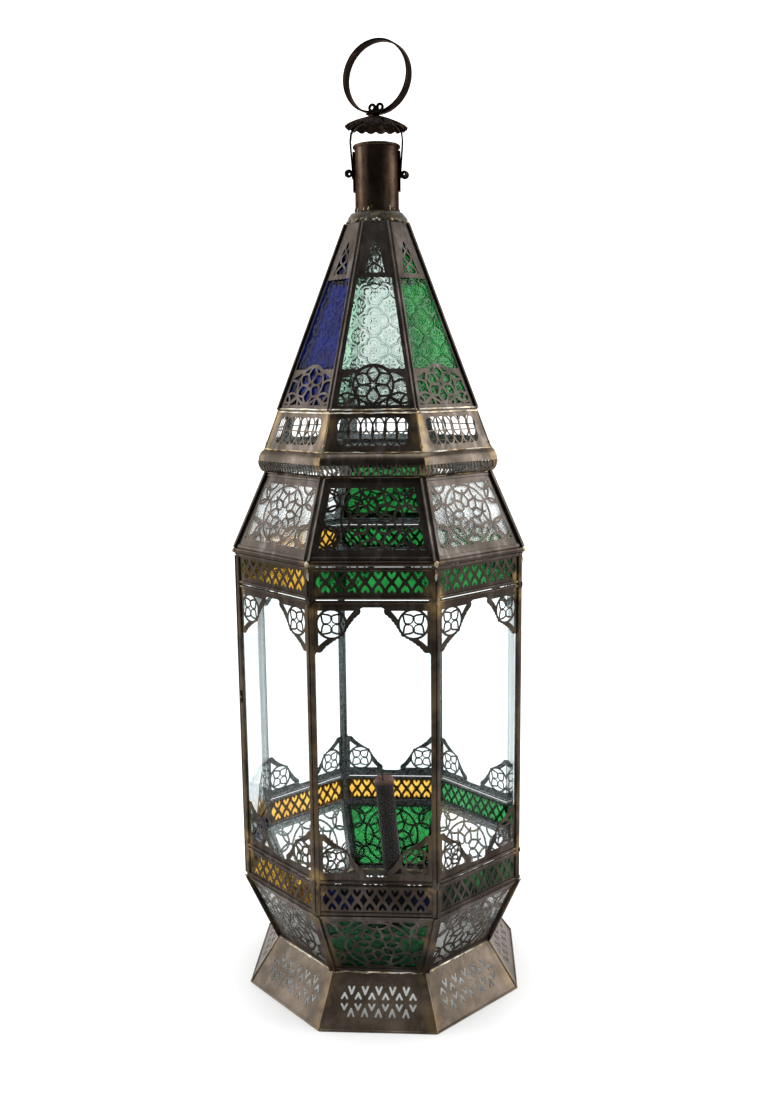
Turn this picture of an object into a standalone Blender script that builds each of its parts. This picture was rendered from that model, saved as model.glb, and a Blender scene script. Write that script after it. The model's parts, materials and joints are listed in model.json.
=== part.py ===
"""Moroccan lantern: an eight-sided body of pierced sheet metal and coloured glass, with a door and a candle.

Metres, +Z up. The origin is the middle of the base, at the height of the rim that the lantern stands on.
The front face looks along -Y, and the door is the face that looks along -X.
"""

import math

import bmesh
import bpy
from mathutils import Matrix, Vector

# Driving dimensions. A radius of an eight-sided section is measured to its corners.
SIDES = 8
CORNER = math.pi / SIDES
BASE = (0.1480, 0.0000)
WAIST = (0.1165, 0.0461)
BODY_RADIUS = 0.1480
BODY_BOTTOM = 0.1187
BODY_TOP = 0.4494
EAVE_RADIUS = 0.1500
EAVE_TOP = 0.4545
SHOULDER_TOP = (0.1157, 0.5258)
BEAD_RADIUS = 0.1235
GALLERY_BOTTOM = (0.1170, 0.5484)
SPIRE_BOTTOM = (0.1025, 0.5850)
SPIRE_TOP = (0.0321, 0.7589)

SHEET = 0.0012
GLASS = 0.0020
GAP = 0.0003
STILE = 0.0045
FRAME_DEPTH = 0.0040
CUT = 0.0080
EAVE_CHAMFER = 0.0012

# The three windows of a side, as lowest and highest points.
LOWER_WINDOW = (0.1240, 0.1452)
MAIN_WINDOW = (0.1575, 0.4130)
UPPER_WINDOW = (0.4262, 0.4455)
SPANDREL = (0.0400, 0.0420)
PANE_LAP = 0.0015

# The door hangs on the corner between the left and the back left side, and stands a little ajar.
DOOR_GAP = 0.0010
HINGE_SIDE_GAP = 0.0046
HINGE_BOTTOM = 0.2790
HINGE_HEIGHT = 0.0730
HINGE_PIN_RADIUS = 0.0007
HINGE_BORE = 0.0011
KNUCKLE_RADIUS = 0.0017
LEAF_WIDTH = 0.0040
LEAF_SHEET = 0.0008
DOOR_KNUCKLES = ((0.36, 0.64),)
FRAME_KNUCKLES = ((0.0, 0.35), (0.65, 1.0))
DOOR_AJAR = math.radians(0.8)
LATCH_HEIGHT = 0.3070
LATCH_FROM_CORNER = 0.0032
LATCH_SIZE = (0.0042, 0.0130, 0.0010)
LATCH_STAND_OFF = 0.0009

# The neck, its bail, and the ring on its pin.
NECK_RADIUS = 0.0210
NECK_BOTTOM = 0.7702
NECK_TOP = 0.8324
COLLAR_RADIUS = 0.0325
NECK_STRAP = (0.0026, 0.0360)
NECK_STRAP_HEIGHT = 0.8085
PIVOT_HEIGHT = 0.8058
PIVOT_RADIUS = 0.0009
PIVOT_BORE = 0.0012
BAIL_ARM = 0.0240
BAIL_WIDTH = 0.0060
BAIL_SHOULDER = 0.8380
BAIL_CROWN = 0.8554
CAP_RADIUS = 0.0303
CAP_RIM = 0.8470
CAP_TOP = 0.8585
SWIVEL_RADIUS = 0.0010
SWIVEL_BORE = 0.0014
SWIVEL_FOOT = 0.8526
RING_RADIUS = 0.0335
RING_WIDTH = 0.0115
RING_BOTTOM = 0.8607
RING_TURN = math.radians(-22.0)

# The candle leans on its dish.
CANDLE_RADIUS = 0.0100
CANDLE_HEIGHT = 0.1500
CANDLE_FOOT = Vector((0.0125, 0.0, 0.0512))
CANDLE_LEAN = math.radians(-5.0)
STRAP_HEIGHT = 0.0464
STRAP_WIDTH = 0.0260
STRAP_SHEET = 0.0015
DISH_RADIUS = 0.0360
DISH_DEPTH = 0.0060

FACES = ("front", "front_right", "right", "back_right", "back", "back_left", "left", "front_left")
DOOR_FACE = 6
HINGE_FACE = 5
LATCH_FACE = 7

# Name: colour, roughness, metallic, transmission.
FINISHES = {
    "dark_tin": ((0.060, 0.050, 0.042), 0.45, 0.9, 0.0),
    "solder": ((0.420, 0.330, 0.170), 0.40, 1.0, 0.0),
    "wire": ((0.040, 0.036, 0.032), 0.50, 0.9, 0.0),
    "clear_glass": ((0.850, 0.900, 0.880), 0.10, 0.0, 0.9),
    "green_glass": ((0.050, 0.450, 0.150), 0.10, 0.0, 0.8),
    "amber_glass": ((0.800, 0.560, 0.060), 0.10, 0.0, 0.8),
    "blue_glass": ((0.030, 0.060, 0.500), 0.10, 0.0, 0.8),
    "wax": ((0.070, 0.020, 0.022), 0.55, 0.0, 0.0),
    "wick": ((0.015, 0.012, 0.010), 0.90, 0.0, 0.0),
}
UPPER_GLASS = ("green", "green", "amber", "green", "green", "amber", "green", "amber")
LOWER_GLASS = ("blue", "green", "amber", "green", "amber", "amber", "blue", "amber")


def clear_scene():
    for obj in list(bpy.data.objects):
        bpy.data.objects.remove(obj, do_unlink=True)


def new_collection(name):
    collection = bpy.data.collections.new(name)
    bpy.context.scene.collection.children.link(collection)
    return collection


def make_materials():
    made = {}
    for name, (colour, roughness, metallic, transmission) in FINISHES.items():
        material = bpy.data.materials.new(name)
        material.use_nodes = True
        shader = material.node_tree.nodes["Principled BSDF"]
        shader.inputs["Base Color"].default_value = (*colour, 1.0)
        shader.inputs["Roughness"].default_value = roughness
        shader.inputs["Metallic"].default_value = metallic
        shader.inputs["Transmission Weight"].default_value = transmission
        made[name] = material
    return made


clear_scene()
PARTS = new_collection("moroccan_lantern")
CUTTERS = new_collection("cutters")
MATERIALS = make_materials()


def new_object(name, bm, finish, matrix=None):
    """The object of a bmesh. It is a cutter, hidden in renders, when it has no finish."""
    mesh = bpy.data.meshes.new(name)
    bm.to_mesh(mesh)
    bm.free()
    obj = bpy.data.objects.new(name, mesh)
    if finish:
        mesh.materials.append(MATERIALS[finish])
        PARTS.objects.link(obj)
    else:
        obj.hide_render = True
        obj.display_type = "WIRE"
        CUTTERS.objects.link(obj)
    if matrix is not None:
        obj.matrix_world = matrix
    return obj


def smooth(obj, degrees=40):
    obj.data.shade_smooth()
    obj.data.set_sharp_from_angle(angle=math.radians(degrees))


def boolean(obj, other, operation="DIFFERENCE"):
    modifier = obj.modifiers.new(operation.lower(), "BOOLEAN")
    modifier.operation = operation
    modifier.object = other


def box(name, size, finish, matrix=None):
    """A box centred on its own origin."""
    bm = bmesh.new()
    bmesh.ops.create_cube(bm, size=1.0)
    bmesh.ops.scale(bm, vec=size, verts=bm.verts)
    return new_object(name, bm, finish, matrix)


def rod(name, radius, start, end, finish, segments=12):
    """A round bar between two points."""
    start, end = Vector(start), Vector(end)
    along = end - start
    bm = bmesh.new()
    bmesh.ops.create_cone(
        bm, cap_ends=True, segments=segments, radius1=radius, radius2=radius, depth=along.length
    )
    turn = along.to_track_quat("Z", "Y").to_matrix().to_4x4()
    return new_object(name, bm, finish, Matrix.Translation((start + end) / 2) @ turn)


def eye(name, centre, axis, radius, thickness, finish=None):
    """A small curl of wire, as a torus about an axis through its centre."""
    bpy.ops.mesh.primitive_torus_add(
        major_radius=radius, minor_radius=thickness, major_segments=16, minor_segments=6
    )
    made = bpy.context.object
    turn = Vector(axis).to_track_quat("Z", "Y").to_matrix().to_4x4()
    bm = bmesh.new()
    bm.from_mesh(made.data)
    bpy.data.objects.remove(made, do_unlink=True)
    return new_object(name, bm, finish, Matrix.Translation(centre) @ turn)


def turned(name, profile, steps, finish, turn=0.0):
    """A closed profile of (radius, height) points, listed from the top down its outer side, turned about Z."""
    bm = bmesh.new()
    corners = [bm.verts.new((radius, 0.0, height)) for radius, height in profile]
    for one, other in zip(corners, corners[1:] + corners[:1]):
        bm.edges.new((one, other))
    obj = new_object(name, bm, finish)
    obj.rotation_euler.z = turn
    screw = obj.modifiers.new("turn", "SCREW")
    screw.axis = "Z"
    screw.steps = steps
    screw.render_steps = steps
    screw.use_merge_vertices = True
    screw.merge_threshold = 0.00001
    return obj


def apothem(radius):
    return radius * math.cos(CORNER)


def inset(radius, depth, low, high):
    """The corner radius of a wall that lies a depth behind the wall through low and high, at one height."""
    rise = high[1] - low[1]
    run = apothem(high[0]) - apothem(low[0])
    return radius - depth * math.hypot(rise, run) / (rise * math.cos(CORNER))


def panelled_shell(name, low, high, depth, thickness, finish):
    """Eight flat walls from low to high, as one ring. Its outside lies a depth behind the line low to high."""
    profile = [
        (inset(high[0], depth, low, high), high[1]),
        (inset(low[0], depth, low, high), low[1]),
        (inset(low[0], depth + thickness, low, high), low[1]),
        (inset(high[0], depth + thickness, low, high), high[1]),
    ]
    return turned(name, profile, SIDES, finish, turn=CORNER)


def on_wall(low, high, rise):
    """The point of the wall from low to high that is a rise above low."""
    share = rise / (high[1] - low[1])
    return (low[0] + (high[0] - low[0]) * share, low[1] + rise)


def glass_behind(name, low, high, start, end, finish):
    """The panes behind a panelled shell, from one rise above its foot to another."""
    bottom, top = on_wall(low, high, start), on_wall(low, high, end)
    return panelled_shell(name, bottom, top, SHEET + GAP, GLASS, finish)


def panel_matrix(face, low, high):
    """A panel's own frame: X along it, Y up its slope, Z out of it, from the middle of its bottom edge."""
    angle = 2 * CORNER * face - math.pi / 2
    out = Vector((math.cos(angle), math.sin(angle), 0.0))
    along = Vector((-out.y, out.x, 0.0))
    foot = out * apothem(low[0]) + Vector((0, 0, low[1]))
    head = out * apothem(high[0]) + Vector((0, 0, high[1]))
    slope = (head - foot).normalized()
    turn = Matrix((along, slope, along.cross(slope))).transposed().to_4x4()
    return Matrix.Translation(foot) @ turn


def add_prism(bm, outline, depth, matrix):
    """Adds a straight-sided solid with the outline, from a depth behind its plane to a depth before it."""
    base = bm.faces.new([bm.verts.new(matrix @ Vector((x, y, -depth))) for x, y in outline])
    raised = bmesh.ops.extrude_face_region(bm, geom=[base])["geom"]
    tops = [item for item in raised if isinstance(item, bmesh.types.BMVert)]
    offset = (matrix.to_3x3() @ Vector((0, 0, 1))).normalized() * 2 * depth
    bmesh.ops.translate(bm, vec=offset, verts=tops)


def cut_panels(obj, low, high, outlines):
    """Cuts the same openings through all eight walls of a shell."""
    bm = bmesh.new()
    for face in range(SIDES):
        for outline in outlines:
            add_prism(bm, outline, CUT, panel_matrix(face, low, high))
    bmesh.ops.recalc_face_normals(bm, faces=bm.faces)
    boolean(obj, new_object(obj.name + "_openings", bm, None))


def slope_length(low, high):
    return math.hypot(high[1] - low[1], apothem(high[0]) - apothem(low[0]))


def trapezium(low, high, bottom, top, margin):
    """The opening between two distances up a panel's slope that leaves a margin at both hips."""
    length = slope_length(low, high)
    half_low, half_high = low[0] * math.sin(CORNER), high[0] * math.sin(CORNER)

    def half(distance):
        return half_low + (half_high - half_low) * distance / length - margin

    return [(-half(bottom), bottom), (half(bottom), bottom), (half(top), top), (-half(top), top)]


def make_plinth():
    """A flared skirt with a wired bottom edge and a narrow ledge inside its top."""
    low = BASE
    high = (WAIST[0], WAIST[1] - GAP)
    wire = 0.0045
    ledge = 0.1020
    wall_low = inset(low[0], SHEET, low, high) - wire * (low[0] - high[0]) / high[1]
    profile = [
        (high[0], high[1]),
        (low[0], low[1] + wire),
        (low[0], low[1]),
        (low[0] - wire, low[1]),
        (low[0] - wire, low[1] + wire / 2),
        (wall_low, low[1] + wire),
        (inset(high[0], SHEET, low, high) + SHEET / 2, high[1] - SHEET),
        (ledge, high[1] - SHEET),
        (ledge, high[1]),
    ]
    turned("plinth", profile, SIDES, "dark_tin", turn=CORNER)


def make_taper():
    """The inverted lower section, with one glazed opening in each wall."""
    low = WAIST
    high = (BODY_RADIUS, BODY_BOTTOM - GAP)
    border, margin, short = 0.0070, 0.0065, 0.0030
    panels = panelled_shell("lower_taper", low, high, 0.0, SHEET, "dark_tin")
    opening = trapezium(low, high, border, slope_length(low, high) - border, margin)
    cut_panels(panels, low, high, [opening])
    glass_behind("lower_taper_glass", low, high, short, high[1] - low[1] - short, "clear_glass")


def window_outline(low, high, half, spandrel):
    """A window's outline, with each corner filled by a stepped spandrel if it has a size."""
    if not spandrel:
        return [(-half, low), (half, low), (half, high), (-half, high)]
    width, height = spandrel
    waist = (half - 0.45 * width, 0.28 * height)
    corner = [(half - width, 0.0), waist, (half, height)]
    bottom = [(x, low + y) for x, y in corner]
    top = [(x, high - y) for x, y in reversed(corner)]
    right = bottom + top
    return right + [(-x, y) for x, y in reversed(right)]


def side_frame(name, left, right, low, high, matrix):
    """A flat frame with mitred sides and three windows, from a left to a right edge of the face."""
    centre = (left + right) / 2
    bm = bmesh.new()
    bmesh.ops.create_cube(bm, size=1.0)
    bmesh.ops.scale(bm, vec=(right - left, high - low, FRAME_DEPTH), verts=bm.verts)
    bmesh.ops.translate(bm, vec=(centre, (low + high) / 2, -FRAME_DEPTH / 2), verts=bm.verts)
    mitre = FRAME_DEPTH * math.tan(CORNER)
    for vert in bm.verts:
        if vert.co.z < -FRAME_DEPTH / 2:
            vert.co.x += mitre if vert.co.x < centre else -mitre
    frame = new_object(name, bm, "dark_tin", matrix)
    cutters = bmesh.new()
    half = (right - left) / 2 - STILE
    shift = Matrix.Translation((centre, 0, 0))
    for (bottom, top), spandrel in (
        (LOWER_WINDOW, None),
        (MAIN_WINDOW, SPANDREL),
        (UPPER_WINDOW, None),
    ):
        add_prism(cutters, window_outline(bottom, top, half, spandrel), CUT, shift)
    bmesh.ops.recalc_face_normals(cutters, faces=cutters.faces)
    boolean(frame, new_object(name + "_windows", cutters, None, matrix))
    return frame


def side_panes(face, centre, half, matrix):
    """The three panes behind a side's frame. They overlap its windows by a lap all round."""
    name = "door" if face == DOOR_FACE else FACES[face]
    depth = -FRAME_DEPTH - GAP - GLASS / 2
    panes = []
    for part, (bottom, top), finish in (
        ("lower", LOWER_WINDOW, LOWER_GLASS[face] + "_glass"),
        ("main", MAIN_WINDOW, "clear_glass"),
        ("upper", UPPER_WINDOW, UPPER_GLASS[face] + "_glass"),
    ):
        size = (2 * half + 2 * PANE_LAP, top - bottom + 2 * PANE_LAP, GLASS)
        place = matrix @ Matrix.Translation((centre, (bottom + top) / 2, depth))
        panes.append(box(f"{name}_{part}_pane", size, finish, place))
    return panes


def side_matrix(face):
    """A side's own frame, whose Y is the height above the base."""
    return panel_matrix(face, (BODY_RADIUS, 0.0), (BODY_RADIUS, 1.0))


def make_sides():
    """The seven fixed sides."""
    edge = BODY_RADIUS * math.sin(CORNER) - GAP / 2
    for face in range(SIDES):
        if face == DOOR_FACE:
            continue
        matrix = side_matrix(face)
        side_frame(f"{FACES[face]}_frame", -edge, edge, BODY_BOTTOM, BODY_TOP, matrix)
        side_panes(face, 0.0, edge - STILE, matrix)


def hinge_axis():
    """The foot of the door's hinge axis: in the gap beside the door, in the plane of its outer side."""
    corner = BODY_RADIUS * math.sin(CORNER)
    off_centre = 0.0001
    return Vector((-apothem(BODY_RADIUS), corner - HINGE_SIDE_GAP / 2 - off_centre, 0.0))


def make_door():
    """The left side, hung on its back edge. Its parent empty stands on the hinge's axis."""
    corner = BODY_RADIUS * math.sin(CORNER)
    left = -corner + HINGE_SIDE_GAP
    right = corner - DOOR_GAP
    matrix = side_matrix(DOOR_FACE)
    clear_foot, clear_head = 0.0015, 0.0025
    low, high = BODY_BOTTOM + clear_foot, BODY_TOP - clear_head
    pieces = [side_frame("door_frame", left, right, low, high, matrix)]
    centre = (left + right) / 2
    pieces += side_panes(DOOR_FACE, centre, (right - left) / 2 - STILE, matrix)
    axis = hinge_axis()
    pivot = bpy.data.objects.new("door_pivot", None)
    pivot.location = axis
    PARTS.objects.link(pivot)
    pieces.append(make_hinge_leaf("door_hinge_leaf", DOOR_FACE, left, 1.0, DOOR_KNUCKLES))
    bpy.context.view_layer.update()
    for piece in pieces:
        piece.parent = pivot
        piece.matrix_parent_inverse = Matrix.Translation(-axis)
    for window in [obj for obj in CUTTERS.objects if obj.name == "door_frame_windows"]:
        window.parent = pivot
        window.matrix_parent_inverse = Matrix.Translation(-axis)
    pivot.rotation_euler.z = -DOOR_AJAR
    make_hinge_leaf("frame_hinge_leaf", HINGE_FACE, corner, -1.0, FRAME_KNUCKLES)
    reach = 0.0010
    start = axis + Vector((0, 0, HINGE_BOTTOM - reach))
    end = axis + Vector((0, 0, HINGE_BOTTOM + HINGE_HEIGHT + reach))
    rod("door_hinge_pin", HINGE_PIN_RADIUS, start, end, "wire", segments=10)


def make_hinge_leaf(name, face, edge, side, spans):
    """A hinge leaf: a thin plate on a side's outer face, beside the axis, and the knuckles round the pin.

    side is the way that the plate runs from the axis, and spans are its knuckles, as shares of the height.
    """
    axis = hinge_axis()
    matrix = side_matrix(face)
    local = matrix.inverted() @ axis
    near, far = local.x, edge + side * LEAF_WIDTH
    centre = Vector(((near + far) / 2, HINGE_BOTTOM + HINGE_HEIGHT / 2, GAP + LEAF_SHEET / 2))
    size = (abs(far - near), HINGE_HEIGHT, LEAF_SHEET)
    leaf = box(name, size, "dark_tin", matrix @ Matrix.Translation(centre))
    lip_width, lip_reach, trim = 0.0012, 0.0005, 0.0001
    lip_top, lip_bottom = GAP + LEAF_SHEET, local.z - lip_reach
    lip_place = Vector((near, centre.y, (lip_top + lip_bottom) / 2))
    lip_size = (lip_width, HINGE_HEIGHT - 2 * trim, lip_top - lip_bottom - trim)
    boolean(leaf, box(name + "_lip", lip_size, None, matrix @ Matrix.Translation(lip_place)), "UNION")
    boolean(leaf, new_object(name + "_relief", leaf_relief(axis, spans), None))
    for index, (low, high) in enumerate(spans):
        start = axis + Vector((0, 0, HINGE_BOTTOM + low * HINGE_HEIGHT))
        end = axis + Vector((0, 0, HINGE_BOTTOM + high * HINGE_HEIGHT))
        knuckle = rod(f"{name}_knuckle_{index}", KNUCKLE_RADIUS, start, end, None)
        boolean(leaf, knuckle, "UNION")
    over = 0.0100
    foot = axis + Vector((0, 0, HINGE_BOTTOM - over))
    head = axis + Vector((0, 0, HINGE_BOTTOM + HINGE_HEIGHT + over))
    boolean(leaf, rod(name + "_bore", HINGE_BORE, foot, head, None))
    return leaf


def leaf_relief(axis, spans):
    """The room that a leaf leaves round the axis wherever it has no knuckle of its own."""
    clear = KNUCKLE_RADIUS + 2 * GAP
    over_end, over_knuckle = 0.0020, 0.0003
    cuts = bmesh.new()
    places = [0.0, *(value for span in spans for value in span), 1.0]
    for low, high in zip(places[::2], places[1::2]):
        if high == low:
            continue
        bottom = HINGE_BOTTOM + low * HINGE_HEIGHT - (over_end if low == 0.0 else over_knuckle)
        top = HINGE_BOTTOM + high * HINGE_HEIGHT + (over_end if high == 1.0 else over_knuckle)
        outline = [(axis.x - clear, axis.y - clear), (axis.x + clear, axis.y - clear)]
        outline += [(axis.x + clear, axis.y + clear), (axis.x - clear, axis.y + clear)]
        middle = Matrix.Translation((0, 0, (bottom + top) / 2))
        add_prism(cuts, outline, (top - bottom) / 2, middle)
    bmesh.ops.recalc_face_normals(cuts, faces=cuts.faces)
    return cuts


def make_latch():
    """A turn button on the corner bar beside the door, held by a rivet. It stands upright, which is open."""
    matrix = side_matrix(LATCH_FACE)
    across = LATCH_FROM_CORNER - BODY_RADIUS * math.sin(CORNER)
    thickness = LATCH_SIZE[2]
    bore, shank, head, head_thickness = 0.0012, 0.0009, 0.0017, 0.0006

    def at(out):
        return matrix @ Vector((across, LATCH_HEIGHT, out))

    place = matrix @ Matrix.Translation((across, LATCH_HEIGHT, LATCH_STAND_OFF + thickness / 2))
    button = box("latch_button", LATCH_SIZE, "dark_tin", place)
    boolean(button, rod("latch_bore", bore, at(-thickness), at(4 * thickness), None))
    head_foot = LATCH_STAND_OFF + thickness + GAP
    head_top = head_foot + head_thickness
    rivet = rod("latch_rivet", shank, at(GAP), at((head_foot + head_top) / 2), "wire")
    boolean(rivet, rod("latch_rivet_head", head, at(head_foot), at(head_top), None), "UNION")


def make_eave():
    """The rounded channel between the sides and the shoulder."""
    low, high = BODY_TOP + GAP, EAVE_TOP
    middle = (low + high) / 2
    flat = 0.0020
    width = 0.0080
    profile = [
        (EAVE_RADIUS - EAVE_CHAMFER, high),
        (EAVE_RADIUS, middle + flat / 2),
        (EAVE_RADIUS, middle - flat / 2),
        (EAVE_RADIUS - EAVE_CHAMFER, low),
        (EAVE_RADIUS - width, low),
        (EAVE_RADIUS - width, high),
    ]
    turned("eave_channel", profile, SIDES, "dark_tin", turn=CORNER)


def make_shoulder():
    """The sloping section above the eave, with one glazed opening in each wall."""
    low = (EAVE_RADIUS - EAVE_CHAMFER, EAVE_TOP + GAP)
    high = SHOULDER_TOP
    border, margin, short = 0.0070, 0.0070, 0.0030
    panels = panelled_shell("shoulder", low, high, 0.0, SHEET, "dark_tin")
    opening = trapezium(low, high, border, slope_length(low, high) - border, margin)
    cut_panels(panels, low, high, [opening])
    glass_behind("shoulder_glass", low, high, short, high[1] - low[1] - short, "clear_glass")


def make_bead():
    """The bulging moulding between the shoulder and the gallery."""
    low, high = SHOULDER_TOP[1] + GAP, GALLERY_BOTTOM[1] - GAP
    steps = 6
    middle, half = (low + high) / 2, (high - low) / 2

    def arc(bulge, foot):
        angles = [math.pi * (0.5 - step / steps) for step in range(steps + 1)]
        return [(foot + bulge * math.cos(angle), middle + half * math.sin(angle)) for angle in angles]

    outer = arc(BEAD_RADIUS - SHOULDER_TOP[0], SHOULDER_TOP[0])
    inner = arc(BEAD_RADIUS - SHOULDER_TOP[0], SHOULDER_TOP[0] - 2 * SHEET)
    turned("bead", outer + inner[::-1], SIDES, "dark_tin", turn=CORNER)


def make_gallery():
    """The open band under the spire, with a row of upright slots in each wall."""
    low = GALLERY_BOTTOM
    high = (SPIRE_BOTTOM[0], SPIRE_BOTTOM[1] - GAP)
    gallery = panelled_shell("gallery", low, high, 0.0, SHEET, "dark_tin")
    slots, pitch = 7, 0.0090
    bottom, top, half = 0.0080, 0.0300, 0.0029
    straight = 0.0100
    low_bend = (bottom + top - straight) / 2
    high_bend = (bottom + top + straight) / 2
    outlines = []
    for index in range(slots):
        x = (index - (slots - 1) / 2) * pitch
        right = [(x, bottom), (x + half, low_bend), (x + half, high_bend)]
        left = [(x, top), (x - half, high_bend), (x - half, low_bend)]
        outlines.append(right + left)
    cut_panels(gallery, low, high, outlines)


def make_spire():
    """The tall roof, with a window and a pierced field below it in each wall."""
    low, high = SPIRE_BOTTOM, SPIRE_TOP
    panels = panelled_shell("spire", low, high, 0.0, SHEET, "dark_tin")
    border, bridge_low, bridge_high, window_top = 0.0070, 0.0390, 0.0430, 0.1330
    window_margin, field_margin = 0.0065, 0.0085
    window = trapezium(low, high, bridge_high, window_top, window_margin)
    field = trapezium(low, high, border, bridge_low, field_margin)
    cut_panels(panels, low, high, [window, field])
    glass_foot, glass_top = 0.0040, 0.1300
    glass_behind("spire_glass", low, high, glass_foot, glass_top, "clear_glass")


def make_neck():
    """The collar on the spire, and the chimney with its rolled rim and the two straps that carry the bail."""
    foot = SPIRE_TOP[1] + GAP
    flat = NECK_BOTTOM - GAP
    bend, seat = 0.0015, 0.0025
    profile = [
        (NECK_RADIUS + bend, flat),
        (COLLAR_RADIUS, foot + SHEET),
        (COLLAR_RADIUS, foot),
        (NECK_RADIUS + bend - 0.0005, flat - SHEET),
        (NECK_RADIUS - seat, flat - SHEET),
        (NECK_RADIUS - seat, flat),
    ]
    smooth(turned("collar", profile, 24, "solder"))
    rim = 0.0013
    profile = [
        (NECK_RADIUS - 0.0002, NECK_TOP),
        (NECK_RADIUS + rim, NECK_TOP - rim),
        (NECK_RADIUS + rim, NECK_TOP - 2 * rim),
        (NECK_RADIUS, NECK_TOP - 3 * rim),
        (NECK_RADIUS, NECK_BOTTOM),
        (NECK_RADIUS - SHEET, NECK_BOTTOM),
        (NECK_RADIUS - SHEET, NECK_TOP),
    ]
    chimney = turned("chimney", profile, 24, "dark_tin")
    smooth(chimney)
    thickness, height = NECK_STRAP
    for side in (-1, 1):
        place = Matrix.Translation((side * (NECK_RADIUS + 0.0001), 0, NECK_STRAP_HEIGHT))
        strap = box(f"chimney_strap_{side}", (thickness, BAIL_WIDTH, height), None, place)
        boolean(chimney, strap, "UNION")
    reach = 2 * NECK_RADIUS
    start, end = (-reach, 0, PIVOT_HEIGHT), (reach, 0, PIVOT_HEIGHT)
    boolean(chimney, rod("pivot_bore", PIVOT_BORE, start, end, None))


def make_pivot_pins():
    """Two wires through the straps, each curled into an eye outside the bail's arm."""
    inside, outside = 0.0030, 0.0022
    curl, curl_wire = 0.0021, 0.0008
    for name, side in (("left", -1), ("right", 1)):
        start = (side * (NECK_RADIUS - inside), 0, PIVOT_HEIGHT)
        end = (side * (BAIL_ARM + outside), 0, PIVOT_HEIGHT)
        pin = rod(f"{name}_pivot_pin", PIVOT_RADIUS, start, end, "wire", segments=10)
        centre = Vector((side * (BAIL_ARM + outside + curl - curl_wire / 2), 0, PIVOT_HEIGHT))
        boolean(pin, eye(f"{name}_pivot_eye", centre, (0, 1, 0), curl, curl_wire), "UNION")


def make_bail():
    """A strap bent to an upside-down U, drilled for its two pivots and for the ring's pin."""
    out = BAIL_ARM + 0.0010
    foot = PIVOT_HEIGHT - 0.0035
    right = [(BAIL_ARM, foot), (BAIL_ARM, PIVOT_HEIGHT + 0.0100), (out, BAIL_SHOULDER - 0.0060)]
    rise = BAIL_CROWN - BAIL_SHOULDER
    steps, flatness = 8, 0.7
    crown = []
    for step in range(steps + 1):
        angle = math.pi * step / steps
        crown.append((out * math.cos(angle), BAIL_SHOULDER + rise * math.sin(angle) ** flatness))
    left = [(-x, z) for x, z in reversed(right)]
    bm = bmesh.new()
    front = [bm.verts.new((x, -BAIL_WIDTH / 2, z)) for x, z in right + crown + left]
    back = [bm.verts.new((x, BAIL_WIDTH / 2, z)) for x, z in right + crown + left]
    for index in range(len(front) - 1):
        bm.faces.new((front[index], front[index + 1], back[index + 1], back[index]))
    bail = new_object("bail", bm, "dark_tin", Matrix.Identity(4))
    solid = bail.modifiers.new("thickness", "SOLIDIFY")
    solid.thickness = SHEET
    solid.offset = 0.0
    reach = 0.0050
    for side in (-1, 1):
        start = (side * (BAIL_ARM - reach), 0, PIVOT_HEIGHT)
        end = (side * (BAIL_ARM + reach), 0, PIVOT_HEIGHT)
        boolean(bail, rod(f"bail_bore_{side}", PIVOT_BORE, start, end, None))
    start, end = (0, 0, BAIL_CROWN - reach), (0, 0, BAIL_CROWN + reach)
    boolean(bail, rod("crown_bore", SWIVEL_BORE, start, end, None))


def make_cap():
    """The pleated cap over the chimney, here as a plain cone, clamped between the bail and the ring."""
    flat = 0.0097
    profile = [
        (flat, CAP_TOP),
        (CAP_RADIUS, CAP_RIM + SHEET),
        (CAP_RADIUS, CAP_RIM),
        (flat - 0.0003, CAP_TOP - SHEET),
        (SWIVEL_BORE, CAP_TOP - SHEET),
        (SWIVEL_BORE, CAP_TOP),
    ]
    smooth(turned("cap", profile, 32, "dark_tin"))


def make_hanging_ring():
    """The ring, and the split pin that it swivels on: a head under the bail and two curled ends above."""
    half = RING_WIDTH / 2
    inner = RING_RADIUS - SHEET
    profile = [(RING_RADIUS, half), (RING_RADIUS, -half), (inner, -half), (inner, half)]
    ring = turned("hanging_ring", profile, 36, "dark_tin")
    centre = Vector((0, 0, RING_BOTTOM + RING_RADIUS))
    turn = Matrix.Rotation(RING_TURN, 4, "Z") @ Matrix.Rotation(math.pi / 2, 4, "X")
    ring.matrix_world = Matrix.Translation(centre) @ turn
    smooth(ring)
    start, end = (0, 0, RING_BOTTOM - 2 * SHEET), (0, 0, RING_BOTTOM + 3 * SHEET)
    boolean(ring, rod("ring_bore", SWIVEL_BORE, start, end, None))
    head_radius, head_lap, above = 0.0026, 0.0004, 0.0040
    start, end = (0, 0, SWIVEL_FOOT + head_lap), (0, 0, RING_BOTTOM + above)
    pin = rod("swivel_pin", SWIVEL_RADIUS, start, end, "wire", segments=10)
    start, end = (0, 0, SWIVEL_FOOT), (0, 0, BAIL_CROWN - SHEET / 2 - GAP)
    boolean(pin, rod("swivel_pin_head", head_radius, start, end, None), "UNION")
    curl, curl_wire, spread, rise = 0.0020, 0.0008, 0.0028, 0.0030
    across = Vector((math.cos(RING_TURN), math.sin(RING_TURN), 0))
    axis = (math.sin(RING_TURN), -math.cos(RING_TURN), 0)
    for side in (-1, 1):
        centre = side * spread * across + Vector((0, 0, RING_BOTTOM + SHEET + GAP + rise))
        boolean(pin, eye(f"swivel_pin_eye_{side}", centre, axis, curl, curl_wire), "UNION")


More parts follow.
